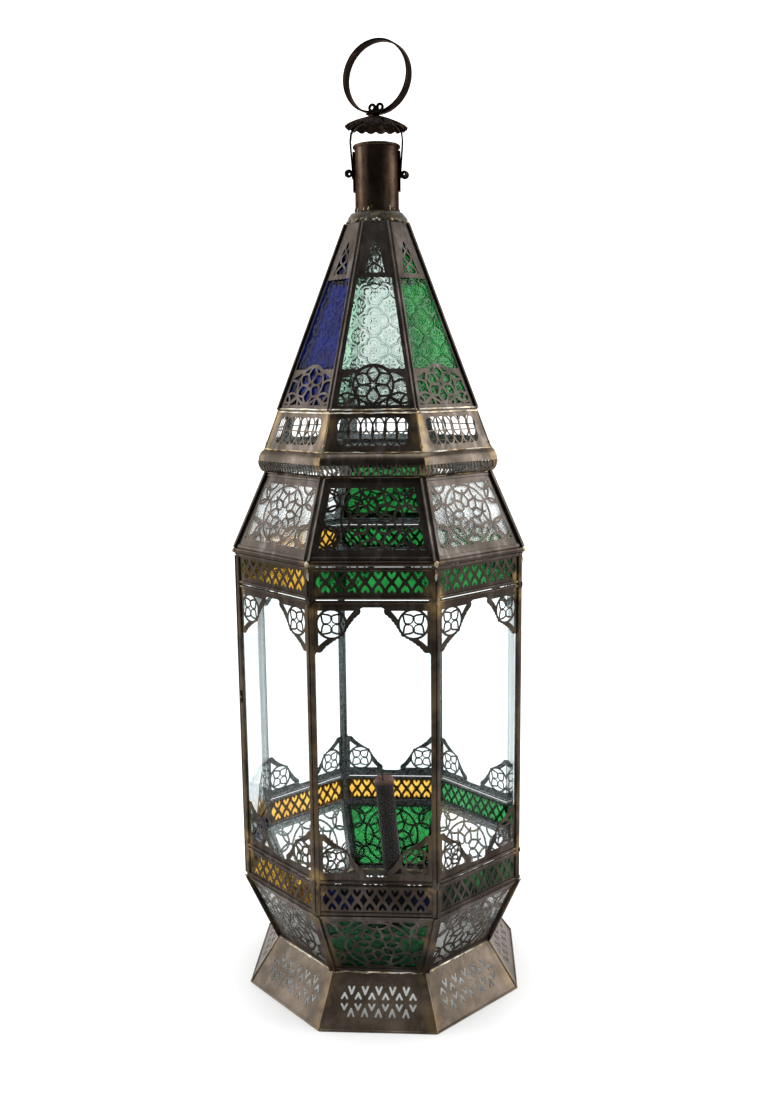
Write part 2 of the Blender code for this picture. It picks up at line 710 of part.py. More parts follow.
def make_candle():
    """The strap across the plinth's ledge, the dish on it, and the candle with its wick."""
    end_gap = 0.0045
    length = 2 * (apothem(WAIST[0]) - end_gap)
    middle = Matrix.Translation((0, 0, STRAP_HEIGHT + STRAP_SHEET / 2))
    box("candle_strap", (length, STRAP_WIDTH, STRAP_SHEET), "dark_tin", middle)
    foot = STRAP_HEIGHT + STRAP_SHEET + GAP
    slope = 0.0020
    profile = [
        (DISH_RADIUS, foot + DISH_DEPTH),
        (DISH_RADIUS - slope, foot),
        (0.0, foot),
        (0.0, foot + SHEET),
        (DISH_RADIUS - slope - 0.0010, foot + SHEET),
        (DISH_RADIUS - SHEET, foot + DISH_DEPTH),
    ]
    smooth(turned("candle_dish", profile, 24, "dark_tin"))
    lean = Matrix.Translation(CANDLE_FOOT) @ Matrix.Rotation(CANDLE_LEAN, 4, "Y")
    bottom = lean @ Vector((0, 0, 0))
    top = lean @ Vector((0, 0, CANDLE_HEIGHT))
    smooth(rod("candle", CANDLE_RADIUS, bottom, top, "wax", segments=20))
    wick_radius, wick_length, wick_bend = 0.0010, 0.0095, -0.0016
    wick_foot = lean @ Vector((0, 0, CANDLE_HEIGHT + GAP))
    wick_top = lean @ Vector((wick_bend, 0, CANDLE_HEIGHT + wick_length))
    rod("wick", wick_radius, wick_foot, wick_top, "wick", segments=8)


def build():
    make_plinth()
    make_candle()
    make_taper()
    make_sides()
    make_door()
    make_latch()
    make_eave()
    make_shoulder()
    make_bead()
    make_gallery()
    make_spire()
    make_neck()
    make_pivot_pins()
    make_bail()
    make_cap()
    make_hanging_ring()


build()
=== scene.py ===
"""The looks of a Moroccan lantern: pierced sheet metal, solder, pressed and coloured glass, and a candle.

Metres, +Z up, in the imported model's frame.
A panel's own frame has X along the panel, Y up its slope and Z out of it.
"""

import json
import math

import bmesh
import bpy
import numpy as np
from mathutils import Matrix, Vector, noise
from mathutils.geometry import delaunay_2d_cdt


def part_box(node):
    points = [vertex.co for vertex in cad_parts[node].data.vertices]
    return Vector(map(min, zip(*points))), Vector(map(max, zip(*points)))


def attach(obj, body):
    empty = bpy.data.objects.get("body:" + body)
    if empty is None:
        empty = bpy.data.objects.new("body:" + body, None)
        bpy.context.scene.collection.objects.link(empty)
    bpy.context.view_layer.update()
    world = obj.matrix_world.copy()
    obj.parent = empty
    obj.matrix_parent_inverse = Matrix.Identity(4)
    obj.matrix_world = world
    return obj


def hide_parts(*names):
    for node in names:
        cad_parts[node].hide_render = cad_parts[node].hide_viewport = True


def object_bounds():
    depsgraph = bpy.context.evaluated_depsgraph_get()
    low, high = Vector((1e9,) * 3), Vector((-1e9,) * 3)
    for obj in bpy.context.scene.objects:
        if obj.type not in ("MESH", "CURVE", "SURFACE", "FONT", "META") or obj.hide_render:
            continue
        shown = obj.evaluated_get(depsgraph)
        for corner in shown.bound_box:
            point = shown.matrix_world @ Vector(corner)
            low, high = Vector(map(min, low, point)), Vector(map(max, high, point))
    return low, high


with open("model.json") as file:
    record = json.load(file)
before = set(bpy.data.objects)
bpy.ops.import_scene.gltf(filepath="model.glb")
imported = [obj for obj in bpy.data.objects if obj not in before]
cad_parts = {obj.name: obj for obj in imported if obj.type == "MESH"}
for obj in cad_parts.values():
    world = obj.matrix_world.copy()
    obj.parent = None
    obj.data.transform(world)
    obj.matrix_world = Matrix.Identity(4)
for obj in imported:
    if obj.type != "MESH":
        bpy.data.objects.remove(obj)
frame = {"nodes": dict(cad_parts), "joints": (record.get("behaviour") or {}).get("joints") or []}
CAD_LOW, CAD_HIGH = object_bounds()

NODES = frame["nodes"]
JOINTS = {joint["name"]: joint for joint in frame["joints"]}
FACES = ("front", "front_right", "right", "back_right", "back", "back_left", "left", "front_left")
DOOR_FACE = FACES.index("left")
SIDES = len(FACES)
CORNER = math.pi / SIDES

MM = 0.001
# A pierced sheet: its thickness, its edge's bevel, the grid that its openings are drawn on, how far an
# outline is simplified, the area of the smallest hole, and the gap across which its points are welded.
SHEET = 0.5 * MM
EDGE = 0.09 * MM
GRID = 0.42 * MM
TOLERANCE = 0.03 * MM
LEAST_HOLE = 0.4 * MM * MM
WELD = 0.002 * MM

# The thickness of a pane, and the depth of the tiers' panes.
PANE = 1.6 * MM
PANE_DEPTH = 1.5 * MM
BACKDROP = 1.6
WIRE_SIDES = 8
UP = Vector((0.0, 0.0, 1.0))

# The camera stands where it sees the front panel almost square on, a little from its right and above.
CAMERA_DISTANCE = 1.0472
CAMERA_HEIGHT = 0.6125
CAMERA_ANGLE = math.radians(3.72)
CAMERA_PITCH = math.radians(-9.21)
CAMERA_PAN = math.radians(0.20)
CAMERA_ROLL = math.radians(-0.67)
CAMERA_LENS = 34.34

# The colour of the pane in each face, from the front round by the right.
UPPER_GLASS = ("green", "green", "amber", "green", "green", "amber", "green", "amber")
LOWER_GLASS = ("blue", "bottle", "amber", "green", "amber", "amber", "blue", "amber")
SPIRE_GLASS = ("clear", "green", "clear", "clear", "clear", "mint", "amber", "blue")
SHOULDER_GLASS = ("window", "frost", "frost", "frost", "green", "frost", "frost", "frost")
TAPER_GLASS = ("bottle", "frost", "frost", "frost", "green", "frost", "frost", "frost")


# ---------------------------------------------------------------- places in the frame

def corners(node):
    """A node's vertices at rest."""
    return np.array([vert.co for vert in NODES[node].data.vertices], float)


def section(node, end):
    """The corner radius and the height of a node's lowest (0) or highest (1) section."""
    points = corners(node)
    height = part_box(node)[end].z
    ring = points[abs(points[:, 2] - height) < 0.2 * MM]
    return float(np.hypot(ring[:, 0], ring[:, 1]).max()), height


def apothem(radius):
    return radius * math.cos(CORNER)


def bearing(angle):
    """The level direction at an angle from X."""
    return Vector((math.cos(angle), math.sin(angle), 0.0))


def face_direction(face):
    return bearing(2 * CORNER * face - math.pi / 2)


def corner_direction(index):
    """The direction of the corner between face index and the face after it."""
    return bearing(2 * CORNER * (index + 0.5) - math.pi / 2)


def panel_matrix(face, low, high):
    """A panel's own frame, from the middle of its bottom edge. low and high are (corner radius, height)."""
    out = face_direction(face)
    along = Vector((-out.y, out.x, 0.0))
    foot = out * apothem(low[0]) + Vector((0, 0, low[1]))
    head = out * apothem(high[0]) + Vector((0, 0, high[1]))
    slope = (head - foot).normalized()
    turn = Matrix((along, slope, along.cross(slope))).transposed().to_4x4()
    return Matrix.Translation(foot) @ turn


def slope_length(low, high):
    return math.hypot(high[1] - low[1], apothem(high[0]) - apothem(low[0]))


def half_widths(low, high):
    """Half the width of a panel's bottom and top edge."""
    return low[0] * math.sin(CORNER), high[0] * math.sin(CORNER)


# ---------------------------------------------------------------- making pieces

def heading(path, index):
    """The direction of a path at one of its points."""
    return (path[min(index + 1, len(path) - 1)] - path[max(index - 1, 0)]).normalized()


class Build:
    """The geometry of one piece, collected before it becomes an object."""

    def __init__(self):
        self.bm = bmesh.new()

    def add_mesh(self, mesh, matrix):
        """Adds a mesh, placed by a matrix."""
        before = len(self.bm.verts)
        self.bm.from_mesh(mesh)
        self.bm.verts.ensure_lookup_table()
        bmesh.ops.transform(self.bm, matrix=matrix, verts=self.bm.verts[before:])

    def add_rings(self, rings, slot=0, closed=False):
        """Skins rings of points, each of the same count. A closed skin joins its last ring to its first."""
        made = [[self.bm.verts.new(point) for point in ring] for ring in rings]
        for one, other in zip(made, made[1:] + made[:1] if closed else made[1:]):
            for index in range(len(one)):
                after = (index + 1) % len(one)
                face = self.bm.faces.new((one[index], one[after], other[after], other[index]))
                face.material_index = slot
        if not closed:
            for ring in (made[0][::-1], made[-1]):
                self.bm.faces.new(ring).material_index = slot

    def sweep(self, path, profile, up, slot=0):
        """Moves a closed profile of (side, up) points along a path."""
        path = [Vector(point) for point in path]
        rings = []
        for index, point in enumerate(path):
            along = heading(path, index)
            side = along.cross(up).normalized()
            top = side.cross(along)
            rings.append([point + side * x + top * y for x, y in profile])
        self.add_rings(rings, slot)

    def wire(self, path, radius):
        """A round wire along a path that bends in any direction."""
        path = [Vector(point) for point in path]
        side = None
        rings = []
        for index, point in enumerate(path):
            along = heading(path, index)
            if side is None:
                side = along.orthogonal().normalized()
            side = (side - along * side.dot(along)).normalized()
            top = along.cross(side)
            angles = [2 * math.pi * step / WIRE_SIDES for step in range(WIRE_SIDES)]
            rings.append([point + (side * math.cos(a) + top * math.sin(a)) * radius for a in angles])
        self.add_rings(rings)

    def eight_sided(self, profile, divisions=1, wobble=0.0, seed=0.0):
        """A ring round the lantern. profile is a closed list of (corner radius, height) points."""
        rings = []
        for index in range(SIDES * divisions):
            side, share = divmod(index, divisions)
            share /= divisions
            place = corner_direction(side - 1) * (1 - share) + corner_direction(side) * share
            ring = []
            for count, (radius, height) in enumerate(profile):
                shift = wobble * noise.noise(Vector((index * 0.37 + seed, count * 0.9, seed)))
                ring.append(place * (radius + shift) + Vector((0, 0, height + shift * 0.6)))
            rings.append(ring)
        self.add_rings(rings, closed=True)

    def turned(self, profile, steps, wobble):
        """A profile of (radius, height) points, closed, turned about Z."""
        rings = []
        for step in range(steps):
            angle = 2 * math.pi * step / steps
            ring = []
            for count, (radius, height) in enumerate(profile):
                spot = Vector((math.cos(angle), math.sin(angle), count * 0.35)) * 3.0
                shift = wobble * noise.noise(spot)
                ring.append(bearing(angle) * (radius + shift) + UP * (height + shift))
            rings.append(ring)
        self.add_rings(rings, closed=True)

    def lump(self, centre, size, seed, slot=0):
        """An uneven drop of solder."""
        made = bmesh.ops.create_icosphere(self.bm, subdivisions=3, radius=1.0)["verts"]
        for vert in made:
            bulge = 1 + 0.45 * noise.noise(vert.co * 1.7 + Vector((seed, seed * 1.3, 0)))
            vert.co = Vector([x * y * bulge for x, y in zip(vert.co, size)]) + centre
        for face in {face for vert in made for face in vert.link_faces}:
            face.material_index = slot

    def piece(self, name, materials, body="lantern", stands_for=(), slot="dark_tin", smooth=35):
        """Makes the object, which rides on a body and stands for CAD nodes."""
        bmesh.ops.recalc_face_normals(self.bm, faces=self.bm.faces)
        mesh = bpy.data.meshes.new(name)
        self.bm.to_mesh(mesh)
        self.bm.free()
        for material in materials:
            mesh.materials.append(material)
        mesh.shade_smooth()
        mesh.set_sharp_from_angle(angle=math.radians(smooth))
        obj = bpy.data.objects.new(name, mesh)
        bpy.context.scene.collection.objects.link(obj)
        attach(obj, body)
        if stands_for:
            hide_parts(*stands_for)


def rounded(width, depth, radius, steps=3):
    """The closed outline of a bar: a rectangle on the line y = 0 to depth, with round corners."""
    points = []
    for cx, cy, start in (
        (width / 2 - radius, depth - radius, 0.0),
        (-width / 2 + radius, depth - radius, 0.5),
        (-width / 2 + radius, radius, 1.0),
        (width / 2 - radius, radius, 1.5),
    ):
        for step in range(steps + 1):
            angle = math.pi * (start + 0.5 * step / steps)
            points.append((cx + radius * math.cos(angle), cy + radius * math.sin(angle)))
    return points


def circle(radius, steps=8, stretch=1.0):
    angles = [2 * math.pi * step / steps for step in range(steps)]
    return [(radius * math.cos(angle), radius * stretch * math.sin(angle)) for angle in angles]


# ---------------------------------------------------------------- pierced sheets

CELL_EDGES = {
    1: "BL", 2: "RB", 4: "TR", 8: "LT", 3: "RL", 6: "TB", 12: "LR", 9: "BT",
    7: "TL", 11: "RT", 13: "BR", 14: "LB", 5: "BLTR", 10: "RBLT",
}


def contours(values, xs, ys):
    """The closed outlines of the regions where values, sampled at xs and ys, are above zero."""
    inside = values > 0
    code = inside[:-1, :-1] + 2 * inside[1:, :-1] + 4 * inside[1:, 1:] + 8 * inside[:-1, 1:]
    follows = {}
    for i, j in zip(*np.nonzero((code > 0) & (code < 15))):
        edges = {"B": (i, j, 0), "R": (i + 1, j, 1), "T": (i, j + 1, 0), "L": (i, j, 1)}
        ends = CELL_EDGES[int(code[i, j])]
        for start, end in zip(ends[::2], ends[1::2]):
            follows[edges[start]] = edges[end]

    def place(edge):
        i, j, upright = edge
        k, m = (i, j + 1) if upright else (i + 1, j)
        share = values[i, j] / (values[i, j] - values[k, m])
        return (xs[i] + (xs[k] - xs[i]) * share, ys[j] + (ys[m] - ys[j]) * share)

    loops = []
    while follows:
        edge = next(iter(follows))
        loop = []
        while edge in follows:
            loop.append(place(edge))
            edge = follows.pop(edge)
        loops.append(np.array(loop))
    return loops


def area(loop):
    x, y = loop[:, 0], loop[:, 1]
    return 0.5 * float(np.sum(x * np.roll(y, -1) - y * np.roll(x, -1)))


def simplified(loop, tolerance):
    """The loop without the points that lie on a line between their neighbours."""

    def thin(points):
        if len(points) < 3:
            return list(points[:-1])
        start, end = points[0], points[-1]
        line = end - start
        length = max(np.hypot(*line), 1e-9)
        away = abs(line[0] * (points[:, 1] - start[1]) - line[1] * (points[:, 0] - start[0])) / length
        if length < 1e-8:
            away = np.hypot(*(points - start).T)
        worst = int(away.argmax())
        if away[worst] < tolerance:
            return [points[0]]
        return thin(points[: worst + 1]) + thin(points[worst:])

    far = int(np.hypot(*(loop - loop[0]).T).argmax())
    return thin(loop[: far + 1]) + thin(np.vstack([loop[far:], loop[:1]]))


def as_distance(values):
    """A field divided by its slope, which makes it a distance near its zero line."""
    rise_x, rise_y = np.gradient(values, GRID)
    return values / np.maximum(np.hypot(rise_x, rise_y), 0.15)


def outward(loop):
    """The unit normals of a loop's points, to its right."""
    along = np.roll(loop, -1, 0) - np.roll(loop, 1, 0)
    return np.stack([along[:, 1], -along[:, 0]], 1) / np.maximum(np.hypot(*along.T), 1e-9)[:, None]


def sheet(outline, opening):
    """A flat sheet with an outline, open wherever opening(x, y) is above zero, with its outer side at Z 0."""
    outline = np.array(outline, float)
    low, high = outline.min(0), outline.max(0)
    xs = np.arange(low[0], high[0] + GRID, GRID)
    ys = np.arange(low[1], high[1] + GRID, GRID)
    values = opening(*np.meshgrid(xs, ys, indexing="ij"))
    values[[0, -1], :] = -1.0
    values[:, [0, -1]] = -1.0
    loops = [outline]
    for loop in contours(values, xs, ys):
        if area(loop) > LEAST_HOLE:
            loops.append(np.array(simplified(loop, TOLERANCE))[::-1])
    points, faces = [], []
    for loop in loops:
        face = list(range(len(points), len(points) + len(loop)))
        faces.append(face if loop is outline else face[::-1])
        points += [Vector(point) for point in loop]
    flat, _, triangles, _, _, owners = delaunay_2d_cdt(points, [], faces, 1, 1e-7)
    bm = bmesh.new()
    top = [bm.verts.new((x, y, 0.0)) for x, y in flat]
    bottom = [bm.verts.new((x, y, -SHEET)) for x, y in flat]
    for (a, b, c), owner in zip(triangles, owners):
        if owner == [0]:
            bm.faces.new((top[a], top[b], top[c]))
            bm.faces.new((bottom[c], bottom[b], bottom[a]))
    for loop in loops:
        shift = outward(loop) * EDGE
        levels = ((0.0, 0.0), (1.0, -EDGE), (1.0, EDGE - SHEET), (0.0, -SHEET))
        rings = [[bm.verts.new((*point, z)) for point in loop + shift * out] for out, z in levels]
        for one, other in zip(rings, rings[1:]):
            for k in range(len(loop)):
                after = (k + 1) % len(loop)
                bm.faces.new((one[after], one[k], other[k], other[after]))
    bmesh.ops.remove_doubles(bm, verts=bm.verts, dist=WELD)
    mesh = bpy.data.meshes.new("sheet")
    bm.to_mesh(mesh)
    bm.free()
    return mesh


def ring(x, y, cx, cy, radius, width):
    return abs(np.hypot(x - cx, y - cy) - radius) - width / 2


def line(x, y, start, end, width):
    """The distance to a straight band between two points."""
    dx, dy = end[0] - start[0], end[1] - start[1]
    share = np.clip(((x - start[0]) * dx + (y - start[1]) * dy) / (dx * dx + dy * dy), 0, 1)
    return np.hypot(x - start[0] - share * dx, y - start[1] - share * dy) - width / 2


def petal(x, y, cx, cy, angle, near, far, half, width, blunt=0.60):
    """The band round a petal that points away from a centre. blunt under 1 rounds its inner end."""
    u = (x - cx) * math.cos(angle) + (y - cy) * math.sin(angle)
    v = -(x - cx) * math.sin(angle) + (y - cy) * math.cos(angle)
    share = np.clip((u - near) / (far - near), 0, 1)
    beyond = np.maximum(np.maximum(near - u, u - far), 0)
    shape = np.hypot(abs(v), beyond) - half * np.sin(math.pi * share**blunt)
    return abs(as_distance(shape)) - width / 2


def least(*fields):
    made = fields[0]
    for field in fields[1:]:
        made = np.minimum(made, field)
    return made


def between_hips(x, y, low, high, margin):
    """The distance inside a panel's two slanting sides, less a margin."""
    length = slope_length(low, high)
    half_low, half_high = half_widths(low, high)
    tilt = (half_low - half_high) / length
    return (half_low - tilt * y - abs(x)) / math.hypot(1, tilt) - margin


def rosette(x, y, cx, cy, radius, width):
    """An eight-petalled flower in a large circle, in wide arcs that cross one another again outside it."""
    fields = [ring(x, y, cx, cy, radius, width)]
    for index in range(8):
        angle = math.pi / 4 * index + math.pi / 2
        across, rise = math.cos(angle), math.sin(angle)
        fields.append(petal(x, y, cx, cy, angle, 0.23 * radius, 0.72 * radius, 0.165 * radius, width))
        away = 1.14 * radius
        fields.append(ring(x, y, cx + across * away, cy + rise * away, 0.44 * radius, width))
        tooth = (cx + across * 0.66 * radius, cy + rise * 0.66 * radius)
        tip = (cx + across * 0.81 * radius, cy + rise * 0.81 * radius)
        fields.append(line(x, y, tooth, tip, 0.9 * width))
    for side in (-1, 1):
        for level in (-1, 1):
            corner = (cx + side * 1.40 * radius, cy + level * 0.62 * radius)
            fields.append(ring(x, y, *corner, 0.36 * radius, width))
            corner = (cx + side * 1.10 * radius, cy + level * 1.18 * radius)
            fields.append(ring(x, y, *corner, 0.40 * radius, width))
    return least(*fields)


def hearts(x, y, low, high, half, count=8):
    """A row of hearts, a row of the same hearts upside down, and lozenges between them."""
    pitch = 2 * half / (count + 0.45)
    height = high - low
    middle = (low + high) / 2
    folded = np.mod(x, pitch) - pitch / 2
    heart_height, heart_half = 0.36 * height, 0.325 * pitch
    up = (abs(y - middle) - height / 2 + heart_height) / heart_height
    swell = np.sin(math.pi / 2 * np.clip(up / 0.8, 0, 1)) ** 0.8
    rounding = 0.30 * (np.clip(up - 0.8, 0, 1) / 0.2) ** 2
    shape = abs(folded) - heart_half * (swell - rounding)
    shape = np.maximum(as_distance(shape), (abs(y - middle) - height / 2))
    tooth = 0.17 * pitch * (up - 0.60) / 0.40 - abs(folded)
    heart = np.minimum(-shape, -tooth)
    heart = np.minimum(heart, count / 2 * pitch - abs(x))
    shifted = np.mod(x + pitch / 2, pitch) - pitch / 2
    span, rise = 0.335 * pitch, 0.30 * height
    lozenge = 1 - (abs(shifted) / span) ** 0.92 - (abs(y - middle) / rise) ** 0.92
    lozenge = np.minimum(as_distance(lozenge * span), half - abs(x))
    return np.maximum(heart, lozenge)


def spandrels(x, y, low, high, half):
    """A tall window whose four corners are filled: open in the window and in the corners' piercings."""
    reach, deep = 46.0 * MM, 25.0 * MM
    centre, radius, width = 15.2 * MM, 13.3 * MM, 2.0 * MM
    u = half - abs(x)
    v = (high - low) / 2 - abs(y - (low + high) / 2)
    away = abs(u - v)
    near = np.minimum(u, v)
    edge = as_distance(near - deep * np.clip(1 - away / reach, 0, 1) ** 1.30) + 0.7 * MM
    lobes = []
    for index in range(7):
        along = (index * 5.4 + (index > 4) * 1.5) * MM
        depth = deep * (1 - along / reach) ** 1.30 - 0.9 * MM
        for cu, cv in ((depth + along, depth), (depth, depth + along)):
            lobes.append(np.hypot(u - cu, v - cv) - (2.6 + 0.25 * index) * MM)
    window = least(edge, u, v, *lobes)
    hub = np.hypot(u - centre, v - centre)
    tails = least(-edge - 2.2 * MM, hub - radius - width / 2, near - 3.0 * MM)
    inner = [radius - width / 2 - hub]
    for index in range(4):
        angle = math.pi / 2 * index + math.pi / 4
        inner.append(petal(u, v, centre, centre, angle, 2.2 * MM, 0.98 * radius, 4.6 * MM, 1.6 * MM))
    return np.maximum(np.maximum(window, tails), least(*inner))


def interlace(x, y, low, high, half, count=6):
    """A row of upright ovals that just overlap, with a bar along their middle, in a round-ended field."""
    middle, rise = (low + high) / 2, (high - low) / 2
    pitch = 2 * half / (count + 0.2)
    corner = 0.75 * rise
    past_side = np.maximum(abs(x) - half + corner, 0)
    past_end = np.maximum(abs(y - middle) - rise + corner, 0)
    fields = [corner - np.hypot(past_side, past_end), abs(y - middle) - 0.5 * MM]
    for index in range(count + 2):
        centre = (index - (count + 1) / 2) * pitch
        oval = np.hypot((x - centre) / (0.56 * pitch), (y - middle) / (1.02 * rise)) - 1
        fields.append(abs(as_distance(oval * pitch)) - 0.75 * MM)
    return least(*fields)


def slots(x, y, middle, pitch):
    """Two double rows of V-shaped slots, mirrored about the middle."""
    fields = []
    for level in (-1, 1):
        for count, away, height, turn in ((5, 9.8, 8.2, 1), (6, 4.9, 6.6, -1)):
            for index in range(count):
                cx = (index - (count - 1) / 2) * pitch
                cy = middle + level * away * MM
                rise = level * turn * (height / 2 - 1.0) * MM
                for side in (-1, 1):
                    end = (cx + side * 2.5 * MM, cy + rise)
                    fields.append(line(x, y, (cx, cy - rise), end, 2.2 * MM))
    return -least(*fields)


def spire_piercing(x, y, low, high):
    """The spire's flower in a circle, its window, and the arabesque at its top."""
    width = 2.1 * MM
    hub, radius = 24.9 * MM, 18.2 * MM
    inside = between_hips(x, y, low, high, 4.6 * MM)
    in_ring = radius - np.hypot(x, y - hub)
    top = np.maximum(hub + 0.62 * radius - 0.5 * np.maximum(abs(x) - radius, 0) - y, in_ring)
    fan = [inside - 1.7 * MM, y - 5.4 * MM, top, abs(in_ring) - width / 2]
    for index in range(6):
        angle = math.pi / 3 * index + math.pi / 2
        fan.append(petal(x, y, 0, hub, angle, 0.14 * radius, 1.0 * radius, 0.315 * radius, 1.9 * MM, 1.15))
    crossing = ((1.45, -0.36, 0.62), (1.30, -1.05, 0.62), (0.84, -1.25, 0.55), (1.92, -1.0, 0.55))
    for side in (-1, 1):
        for cx, cy, size in crossing:
            arc = ring(x, y, side * cx * radius, hub + cy * radius, size * radius, width)
            fan.append(np.where(in_ring > 0, 1.0, arc))
    over_fan = -in_ring - width / 2 - 1.0 * MM
    scallop = 0.9 * MM * abs(np.sin(x * math.pi / (5.2 * MM)))
    fan = least(*fan)
    window = least(inside, y - 39.6 * MM - scallop, over_fan, 130.0 * MM - scallop - y)
    first, last = 134.2 * MM, 166.5 * MM
    share = np.clip((y - first) / (last - first), 0, 1)
    sway = (7.4 - 5.6 * share) * MM * abs(np.cos(math.pi * (y - first - 3.0 * MM) / (13.0 * MM)))
    bands = abs(as_distance(abs(x) - sway)) - 0.9 * MM
    top = least(bands, (8.6 - 7.2 * share) * MM - abs(x) + 0.9 * MM, y - first, last - y)
    return np.maximum(np.maximum(fan, window), top)


# ---------------------------------------------------------------- materials

class Nodes:
    """A short way to write a material's node tree."""

    def __init__(self, name):
        self.material = bpy.data.materials.new(name)
        self.material.use_nodes = True
        self.tree = self.material.node_tree
        self.shader = self.tree.nodes["Principled BSDF"]
        self.output = self.tree.nodes["Material Output"]
        self.place = self.new("ShaderNodeTexCoord")
        self.point = self.place.outputs["Object"]

    def new(self, kind, **values):
        node = self.tree.nodes.new(kind)
        for key, value in values.items():
            setattr(node, key, value)
        return node

    def put(self, socket, value):
        if isinstance(value, bpy.types.NodeSocket):
            self.tree.links.new(value, socket)
        elif value is not None:
            socket.default_value = value

    def math(self, operation, one, other=None, third=None):
        node = self.new("ShaderNodeMath", operation=operation)
        for socket, value in zip(node.inputs, (one, other, third)):
            self.put(socket, value)
        return node.outputs[0]

    def vector(self, operation, one, other=None):
        node = self.new("ShaderNodeVectorMath", operation=operation)
        self.put(node.inputs[0], one)
        self.put(node.inputs[1], other)
        return node.outputs["Value"] if operation in ("DOT_PRODUCT", "LENGTH") else node.outputs["Vector"]

    def step(self, value, low, high):
        """Nought below low and one above high, smooth between."""
        node = self.new("ShaderNodeMapRange", interpolation_type="SMOOTHSTEP")
        self.put(node.inputs["Value"], value)
        node.inputs["From Min"].default_value = low
        node.inputs["From Max"].default_value = high
        return node.outputs["Result"]

    def spread(self, value, low, high):
        """A value from nought to one, brought to low to high."""
        node = self.new("ShaderNodeMapRange")
        self.put(node.inputs["Value"], value)
        node.inputs["To Min"].default_value = low
        node.inputs["To Max"].default_value = high
        return node.outputs["Result"]

    def noise(self, scale, detail, rough, stretch=None):
        """Noise whose grains are about 1/scale metres wide."""
        node = self.new("ShaderNodeTexNoise")
        point = self.point
        if stretch is not None:
            point = self.vector("MULTIPLY", point, stretch)
        self.put(node.inputs["Vector"], point)
        node.inputs["Scale"].default_value = scale
        node.inputs["Detail"].default_value = detail
        node.inputs["Roughness"].default_value = rough
        return node.outputs["Fac"]

    def blend(self, share, one, other):
        node = self.new("ShaderNodeMix", data_type="RGBA")
        self.put(node.inputs["Factor"], share)
        for key, value in (("A", one), ("B", other)):
            socket = [s for s in node.inputs if s.name == key and s.type == "RGBA"][0]
            self.put(socket, value if isinstance(value, bpy.types.NodeSocket) else (*value, 1.0))
        return [s for s in node.outputs if s.type == "RGBA"][0]

    def bump(self, height, distance, strength=1.0, onto=None):
        node = self.new("ShaderNodeBump")
        node.inputs["Strength"].default_value = strength
        node.inputs["Distance"].default_value = distance
        self.put(node.inputs["Height"], height)
        if onto is not None:
            self.put(node.inputs["Normal"], onto)
        return node.outputs["Normal"]


def tin(name, dark, light, sheen, gold=0.0, stains=(), lining=True, metallic=0.88, edge=(0.9, 0.85, 0.8)):
    """Antiqued tin: blotched and rubbed, brassy by the solder at the corners, and bare grey inside.

    gold is how far the brassy stain covers the corners, most of all near the heights in stains.
    """
    n = Nodes(name)
    split = n.new("ShaderNodeSeparateXYZ")
    n.put(split.inputs[0], n.point)
    x, y, z = split.outputs
    blotch = n.step(n.noise(28.0, 5.0, 0.6), 0.35, 0.70)
    grime = n.noise(260.0, 4.0, 0.65)
    streak = n.noise(90.0, 3.0, 0.6, stretch=(1.0, 1.0, 0.12))
    colour = n.blend(blotch, dark, light)
    colour = n.blend(n.math("MULTIPLY", n.step(streak, 0.50, 0.72), 0.55), colour, sheen)
    colour = n.blend(n.math("MULTIPLY", n.step(grime, 0.54, 0.74), 0.6), colour, [0.5 * c for c in dark])
    if gold:
        turn = n.math("MULTIPLY", n.math("ARCTAN2", y, x), float(SIDES))
        corner = n.step(n.math("COSINE", turn), -0.78, -0.99)
        patch = n.step(n.noise(40.0, 4.0, 0.6), 0.42, 0.62)
        near = 0.2 if stains else 1.0
        for height in stains:
            away = n.math("ABSOLUTE", n.math("SUBTRACT", z, height))
            near = n.math("MAXIMUM", near, n.step(away, 24.0 * MM, 5.0 * MM))
        share = n.math("MULTIPLY", n.math("MULTIPLY", corner, patch), n.math("MULTIPLY", near, gold))
        colour = n.blend(share, colour, (0.360, 0.240, 0.095))
    if lining:
        radial = n.vector("NORMALIZE", n.vector("MULTIPLY", n.point, (1.0, 1.0, 0.0)))
        facing = n.vector("DOT_PRODUCT", n.place.outputs["Normal"], radial)
        inside = n.step(facing, -0.30, -0.55)
        grain = n.step(n.noise(420.0, 3.0, 0.7), 0.40, 0.66)
        speck = n.blend(grain, (0.060, 0.066, 0.066), (0.230, 0.245, 0.242))
        colour = n.blend(inside, colour, speck)
    n.put(n.shader.inputs["Base Color"], colour)
    n.put(n.shader.inputs["Roughness"], n.spread(n.noise(75.0, 5.0, 0.6), 0.18, 0.46))
    n.shader.inputs["Metallic"].default_value = metallic
    n.shader.inputs["Specular IOR Level"].default_value = 0.2
    n.shader.inputs["Specular Tint"].default_value = (*edge, 1.0)
    first = n.bump(n.noise(55.0, 3.0, 0.5), 0.9 * MM, 0.35)
    n.put(n.shader.inputs["Normal"], n.bump(grime, 0.12 * MM, 0.5, onto=first))
    return n.material


def solder(name, dark, light, silver):
    """Solder, brassy in places and grey in others, with a lumpy skin."""
    n = Nodes(name)
    base = n.blend(n.step(n.noise(130.0, 4.0, 0.6), 0.38, 0.62), dark, light)
    base = n.blend(n.step(n.noise(60.0, 3.0, 0.6), 0.48, 0.62), base, silver)
    n.put(n.shader.inputs["Base Color"], base)
    n.shader.inputs["Metallic"].default_value = 0.9
    n.put(n.shader.inputs["Roughness"], n.spread(n.noise(200.0, 3.0, 0.6), 0.22, 0.60))
    n.put(n.shader.inputs["Normal"], n.bump(n.noise(320.0, 4.0, 0.6), 0.35 * MM, 0.7))
    return n.material


